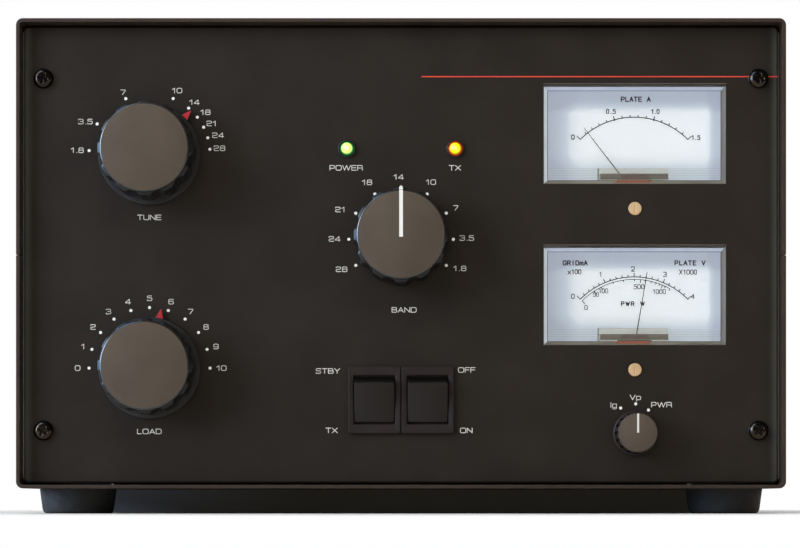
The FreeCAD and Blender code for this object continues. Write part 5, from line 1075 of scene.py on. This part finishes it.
def zero_adjuster(meter, z):
    """A cream plastic screw with a broad worn slot and a rolled edge."""
    radius, face, slot, sides = 3.15, -182.48, 0.38, 64
    rows = [[(METER_X + radius * math.sin(a), -178.5, z + radius * math.cos(a)) for a in ring_angles(sides)]]
    for share, rise in ((1.0, 0.0), (1.0, 0.25), (0.97, 0.36), (0.9, 0.4), (0.75, 0.4), (0.6, 0.41),
                        (0.45, 0.42), (0.3, 0.42), (0.2, 0.42), (0.1, 0.42), (0.0, 0.42)):
        row = []
        for angle in ring_angles(sides if share else 1):
            across = radius * share * math.sin(angle)
            cut = 0.18 * clamped((slot - abs(across)) / 0.2) if share < 0.62 else 0.0
            row.append((METER_X + across, face - rise + cut, z + radius * share * math.cos(angle)))
        rows.append(row)
    piece(meter + "_adjuster", Shape().skin(rows), ["cream_plastic"], meter + "_zero_screw",
          (meter + "_zero_screw",), sharp=45)


def needle(meter, turn):
    """The moving coil on its former, with a thin tapered pointer, its tail weight and the pivots."""
    moving, pivot = Shape(), METERS[meter][1]
    for left, right, back, front in ((-8.15, 8.15, -173.6, -174.55), (-8.15, 8.15, -160.15, -161.1),
                                     (-8.15, -7.2, -160.2, -174.5), (7.2, 8.15, -160.2, -174.5)):
        moving.slab(box(left, right, -1.4, 1.4), back, front, 1)
    for layer in range(8):
        rise = -1.26 + 0.36 * layer
        moving.wire([(-8.13, -174.53, rise), (8.13, -174.53, rise), (8.13, -160.17, rise),
                     (-8.13, -160.17, rise)], 0.16, 2, closed=True)
    moving.slab([(-0.42, -7.5), (0.42, -7.5), (0.3, 0.0), (0.14, 39.2), (-0.14, 39.2), (-0.3, 0.0)], -174.75,
                -175.05)
    moving.slab(box(-1.3, 1.3, -8.8, -6.2), -174.7, -175.1, 1, 0.08)
    for start, shoulder, out in ((-174.7, -175.2, -1), (-160.1, -159.9, 1)):
        moving.turned([(0.7, start), (0.7, shoulder), (0.35, shoulder + 0.32 * out),
                       (0, shoulder + 0.34 * out)], (0, 0, 0), 24, 3)
    cos, sin = math.cos(math.radians(turn)), math.sin(math.radians(turn))
    swung = Shape().take(moving, lambda p: (METER_X + p.x * cos + p.z * sin, p.y,
                                            pivot - p.x * sin + p.z * cos))
    piece(meter + "_pointer", swung, ["needle_brown", "silvered", "copper_wire", "brass"],
          meter + "_needle", (meter + "_needle",), sharp=30)


needle("plate", -37.7)
needle("grid", 9.7)
dial_print("plate", [(ARC, SCALE_END, 0.5)], 6, 0.46, (-0.5, 1.7), PLATE_WORDS)
dial_print("grid", [(ARC, SCALE_END, 0.46), (INNER_ARC, max(POWER_MARKS), 0.34)], 4.5, 0.44, (0.0, 1.8),
           GRID_WORDS, POWER_MARKS)
for meter, (middle, pivot) in METERS.items():
    window_cover(meter, middle)
    window_rim(meter, middle)
    movement_front(meter, pivot)
    zero_adjuster(meter, pivot - 8.9)


# --- sides, rear and underside --------------------------------------------------------------------

SIDE, SIDE_SCREW_Y, SIDE_SCREW_Z = 183.0, 175.93, (110.27, 135.73)
FOOT_X, FOOT_Y, FOOT_WELL = 158.0, 155.0, 4.6
COAX_X, COAX_Z, COAX_SCREW = 5.0, (160.0, 120.0), 9.1
PHONO_X, PHONO_Z = (-2.5, 12.5), 74.0
EARTH_X, EARTH_Z = 5.0, 40.0
INLET_X, INLET_Z, INLET_DEEP = 118.0, 52.0, 16.0


def side_screws():
    """Pan heads with cross recesses, four to a side, that hold the covers."""
    heads = Shape()
    for side in (-1, 1):
        for y in (-SIDE_SCREW_Y, SIDE_SCREW_Y):
            for z in SIDE_SCREW_Z:
                head = pan_screw(Shape(), (0, 0), 0.0, 3.88, 1.28)
                head.turned([(3.9, 0.0), (3.9, 0.1), (3.7, 0.16)], (0, 0, 0))
                heads.take(head, lambda p: (side * (SIDE + p.y), y + p.x, z + p.z))
    piece("cover_screws", heads, ["black_screw"], "cabinet", ("case_screws",), sharp=60)


def feet():
    """Moulded feet, drawn in towards the table, each with a countersunk well and its screw."""
    pads, well = Shape(), FOOT_WELL
    foot_edge = [(15.3 + 1.8 * math.sin(t), 1.8 - 1.8 * math.cos(t))
                 for t in (math.radians(11 * i) for i in range(8))]
    for x in (-FOOT_X, FOOT_X):
        for y in (-FOOT_Y, FOOT_Y):
            pads.turned([(0, well), (4.4, well), (4.4, 1.0), (5.4, 0.25), (6.0, 0.0), (12.6, 0.0),
                         (12.8, 0.35), (13.4, 0.35), (13.6, 0.0), *foot_edge, (17.35, 2.2), (18.62, 11.6),
                         (18.5, 11.95), (0, 12.0)], (x, y, 0.0), 96, upright=True)
            screw = pan_screw(Shape(), (0, 0), 0.0, 3.5, 2.2)
            pads.take(screw, lambda p: (x + p.x, y + p.z, well - p.y), 1)
    piece("rubber_feet", pads, ["rubber", "zinc_plate"], "cabinet", ("feet",), sharp=45)


def thread(radius, depth, start, end, pitch):
    """Profile points of a screw thread, drawn as close rings."""
    count = int(abs(end - start) / pitch)
    step = (end - start) / count
    points = []
    for turn in range(count):
        at = start + step * turn
        points += [(radius - depth, at), (radius, at + 0.35 * step), (radius, at + 0.62 * step)]
    return points + [(radius - depth, end)]


def coax_sockets():
    """Screw-thread coaxial sockets: square flange with four screws, barrel, insulator and contact."""
    x, body = COAX_X, Shape()
    for z in COAX_Z:
        centre = (x, 0, z)
        body.slab(rounded_box(x - 12.7, x + 12.7, z - 12.7, z + 12.7, 1.6), REAR, REAR + 1.6, edge=0.25)
        body.turned([(0, 173.5), (1.5, 173.5), (1.7, 174.6), (1.7, 176.2), (5.4, 176.4), (5.5, 176.7),
                     (5.5, REAR)], centre)
        body.turned([(8.6, REAR + 1.5), (8.6, REAR + 1.9), (7.5, REAR + 2.3),
                     *thread(7.94, 0.42, REAR + 2.4, 194.4, 1.06), (7.4, 194.9), (7.1, 195.1),
                     (6.3, 195.1), (6.1, 194.9), (6.1, 191.4)], centre, 72)
        body.turned([(6.12, 191.2), (5.9, 191.5), (3.2, 191.5), (3.0, 191.8), (2.9, 193.8), (2.5, 194.1),
                     (2.35, 194.1)], centre, finish=1)
        body.turned([(2.36, 193.0), (2.36, 194.3), (2.1, 194.4), (1.95, 194.3), (1.9, 186.2), (0, 186.1)],
                    centre, 32, 2)
        for across in (-COAX_SCREW, COAX_SCREW):
            for up in (-COAX_SCREW, COAX_SCREW):
                pan_screw(body, (x + across, z + up), REAR + 1.6, 1.9, 1.0, sides=36, finish=3)
    piece("coax_fittings", body, ["nickel", "ptfe", "brass", "zinc_plate"], "cabinet",
          ("coax_sockets",), sharp=35)


def hexagon(x, z, radius, turn=0.0):
    return [(x + radius * math.sin(a + turn), z + radius * math.cos(a + turn)) for a in ring_angles(6)]


def control_sockets():
    """Phono sockets: hexagonal nut, rolled shell, phenolic insert and centre hole."""
    body, z = Shape(), PHONO_Z
    for x in PHONO_X:
        centre = (x, 0, z)
        body.slab(hexagon(x, z, 6.0), REAR, REAR + 2.2, edge=0.35)
        body.turned([(5.0, REAR + 2.1), (4.9, REAR + 2.35), (4.3, REAR + 2.4),
                     *thread(4.15, 0.25, REAR + 2.5, REAR + 5.4, 0.75), (4.15, REAR + 5.6),
                     (4.15, REAR + 9.7), (3.95, REAR + 10.15), (3.65, REAR + 10.2), (3.45, REAR + 10.0),
                     (3.4, REAR + 8.2)], centre, 56)
        body.turned([(3.42, REAR + 8.0), (3.3, REAR + 8.5), (2.1, REAR + 8.6), (1.8, REAR + 8.4),
                     (1.7, REAR + 8.0)], centre, finish=1)
        body.turned([(1.72, REAR + 8.2), (1.62, REAR + 7.9), (1.6, REAR + 1.3), (0, REAR + 1.25)], centre,
                    32, 2)
        body.turned([(3.4, REAR), (3.4, 175.4), (3.1, 175.0), (1.0, 174.9), (0.9, 174.5), (0, 174.5)],
                    centre, 40)
    piece("phono_fittings", body, ["nickel", "phenolic", "brass"], "cabinet",
          ("control_sockets",), sharp=35)


def earth_stud():
    """A threaded brass stud with a clamping nut outside and a fixing nut inside."""
    nut = hexagon(EARTH_X, EARTH_Z, 5.8, math.pi / 6)
    body = Shape().turned([(0, 173.5), (2.6, 173.5), (2.9, 173.9), *thread(3.0, 0.3, 174.2, 206.6, 0.8),
                           (2.5, 207.3), (2.2, 207.5), (0, 207.5)], (EARTH_X, 0, EARTH_Z), 40)
    body.slab(nut, 175.5, 180.5, edge=0.4)
    body.slab(nut, REAR, REAR + 5.0, edge=0.5)
    piece("earth_terminal", body, ["brass"], "cabinet", ("earth_post",), sharp=35)


def mains_inlet():
    """A flanged inlet: rounded front, a deep cavity with two cut corners, and three folded blades."""
    x, z, outer = INLET_X, INLET_Z, REAR + 3.0

    def cornered(wide, high, low_cut, high_cut):
        return [(x - wide + low_cut, z - high), (x + wide - low_cut, z - high),
                (x + wide, z - high + low_cut), (x + wide, z + high - high_cut),
                (x + wide - high_cut, z + high), (x - wide + high_cut, z + high),
                (x - wide, z + high - high_cut), (x - wide, z - high + low_cut)]

    rim, mouth = cornered(25.0, 13.5, 5.0, 5.0), cornered(12.2, 8.3, 0.4, 5.0)
    shell = cornered(13.8, 10.0, 0.6, 5.6)
    body = Shape().layered([(rim, REAR), (rim, outer - 0.5), (shrunk(rim, 0.5), outer),
                            (shrunk(mouth, -0.6), outer), (shrunk(mouth, -0.15), outer - 0.15),
                            (mouth, outer - 0.6), (mouth, outer - INLET_DEEP)])
    body.layered([(shell, REAR), (shell, REAR - INLET_DEEP)])
    for across, lift in ((-7.0, -1.9), (0.0, 1.9), (7.0, -1.9)):
        blade = box(x + across - 1.0, x + across + 1.0, z + lift - 2.0, z + lift + 2.0)
        body.slab(blade, outer - INLET_DEEP - 0.1, 180.0, 1, 0.45)
    piece("inlet_fitting", body, ["black_moulding", "brass"], "cabinet", ("mains_inlet",),
          sharp=30)


side_screws()
feet()
coax_sockets()
control_sockets()
earth_stud()
mains_inlet()


# --- floor, light and camera ----------------------------------------------------------------------

WHITE = (1.0, 1.0, 1.0, 1.0)

# The dark card of painted shade under the case, in metres
SHADE_LEFT, SHADE_RIGHT, SHADE_FRONT, SHADE_BACK = -0.151, 0.151, -0.1, -0.099
SHADE_LOW, SHADE_TOP = 0.0003, 0.0118


def staged(name, points, faces, finish):
    """A flat piece of the studio, in metres."""
    made = linked(name, points, faces)
    made.data.materials.append(LOOKS[finish])


def floor():
    """A plain pale table top under the object's shadow; far from the object a camera sees it white."""
    made = Finish("floor_white", specular=0.1)
    made.colours(made.noise(6, 4), (0.3, (243, 243, 242)), (0.7, (248, 248, 247)))
    made.surface(made.noise(60, 3), 0.6, 0.8, made.noise(900, 2), 0.01)
    away = made.node("VectorMath", {0: made.places}, "Value", operation="LENGTH")
    seen = made.math("MULTIPLY", made.spread(away, 0.24, 0.4, way="SMOOTHSTEP"),
                     made.node("LightPath", output="Is Camera Ray"))
    white = made.node("Emission", {"Color": WHITE})
    made.give(made.out, {0: made.node("MixShader", {0: seen, 1: made.shader.outputs[0], 2: white})})
    staged("floor", [(-6, -6, 0), (6, -6, 0), (6, 6, 0), (-6, 6, 0)], [(0, 1, 2, 3)], "floor_white")


def shade():
    """A low dark card of painted shade in the gap under the case, standing for the shadow there, which keeps
    the light behind from shining through.
    """
    # painted shade with a glow of its own dark colour, and painted light: bluish towards the left end, where
    # light spills in beside the foot
    made = Finish("shade_card", specular=0.1, Emission_Color=screen(24, 22, 18), Emission_Strength=1.0)
    made.colours(made.spread(made.along("X"), -0.142, -0.043, way="SMOOTHSTEP"), (0.0, (104, 113, 128)),
                 (1.0, (52, 47, 41)))
    made.surface(made.noise(60, 3), 0.7, 0.9, made.noise(700, 2), 0.02)
    corners = [(x, y, z) for z in (SHADE_LOW, SHADE_TOP)
               for x, y in box(SHADE_LEFT, SHADE_RIGHT, SHADE_FRONT, SHADE_BACK)]
    staged("shade", corners, [(0, 1, 5, 4), (1, 2, 6, 5), (2, 3, 7, 6), (3, 0, 4, 7), (4, 5, 6, 7),
                              (3, 2, 1, 0)], "shade_card")


def studio():
    """White behind the object for the camera, and an even grey light from all round, dim in reflections,
    which see the white only behind the object."""
    world = bpy.data.worlds.new("studio")
    bpy.context.scene.world = world
    sky = Nodes(world)
    rays, place = sky.add("LightPath").outputs, sky.node("TexCoord", output="Generated")
    behind = sky.spread(sky.node("SeparateXYZ", {0: place}, "Y"), -0.1, 0.5)
    mirrored = sky.math("MAXIMUM", rays["Is Glossy Ray"], rays["Is Transmission Ray"])
    seen = sky.math("MAXIMUM", rays["Is Camera Ray"], sky.math("MULTIPLY", mirrored, behind))
    dim = sky.math("MULTIPLY_ADD", rays["Is Glossy Ray"], -0.2, 0.3)
    plain = sky.node("Background", {"Color": (0.97, 0.98, 1.0, 1.0), "Strength": dim})
    white = sky.node("Background", {"Color": WHITE, "Strength": 1.0})
    sky.add("OutputWorld", {0: sky.node("MixShader", {0: seen, 1: plain, 2: white})})


def softbox(name, place, aim, size, power, tint=(1.0, 1.0, 1.0), seen=(True, True)):
    """A soft rectangular lamp, place and aim in metres; seen in matt and in glossy surfaces."""
    lamp = bpy.data.lights.new(name, "AREA")
    lamp.shape, lamp.size, lamp.size_y, lamp.energy = "RECTANGLE", size[0], size[1], power
    lamp.color = tint
    holder = bpy.data.objects.new(name, lamp)
    bpy.context.scene.collection.objects.link(holder)
    holder.location = place
    holder.visible_diffuse, holder.visible_glossy = seen
    holder.visible_transmission = seen[0]
    holder.rotation_euler = (Vector(aim) - Vector(place)).to_track_quat("-Z", "Y").to_euler()


def camera():
    """The camera stands in front, level, its line of sight low; the frame is shifted up."""
    lens = bpy.data.cameras.new("camera")
    lens.lens, lens.sensor_width, lens.shift_y = 108.9, 36.0, 0.2825
    lens.clip_start, lens.clip_end = 0.05, 40.0
    eye = bpy.data.objects.new("camera", lens)
    bpy.context.scene.collection.objects.link(eye)
    eye.location = (-0.0005, -1.340, 0.0065)
    eye.rotation_euler = (math.pi / 2, 0.0, 0.0)
    bpy.context.scene.camera = eye


floor()
shade()
studio()
softbox("key", (-2.4, -1.5, 1.1), (0, 0, 0.12), (1.6, 1.6), 60, (0.95, 0.98, 1.0))
softbox("top", (-0.5, -1.1, 2.6), (0, 0, 0.1), (1.6, 1.2), 16, seen=(True, False))
softbox("front", (-0.6, -2.2, 1.7), (0, 0, 0.1), (1.4, 1.2), 8, seen=(True, False))
softbox("fill", (2.2, -2.2, 1.6), (0, 0, 0.12), (0.9, 0.9), 15, (1.0, 0.95, 0.88), (True, False))
softbox("edge", (-2.0, -0.9, 0.55), (-0.12, -0.2, 0.15), (2.6, 1.1), 100, (0.32, 0.6, 1.0), (False, True))
softbox("crown", (-1.3, -1.3, 2.1), (-0.1, -0.2, 0.15), (1.5, 1.2), 34, (0.4, 0.66, 1.0), (False, True))
softbox("back", (0.4, 2.2, 1.6), (0, 0, 0.1), (1.8, 1.2), 26)
camera()
bpy.context.scene.view_settings.view_transform = "Standard"
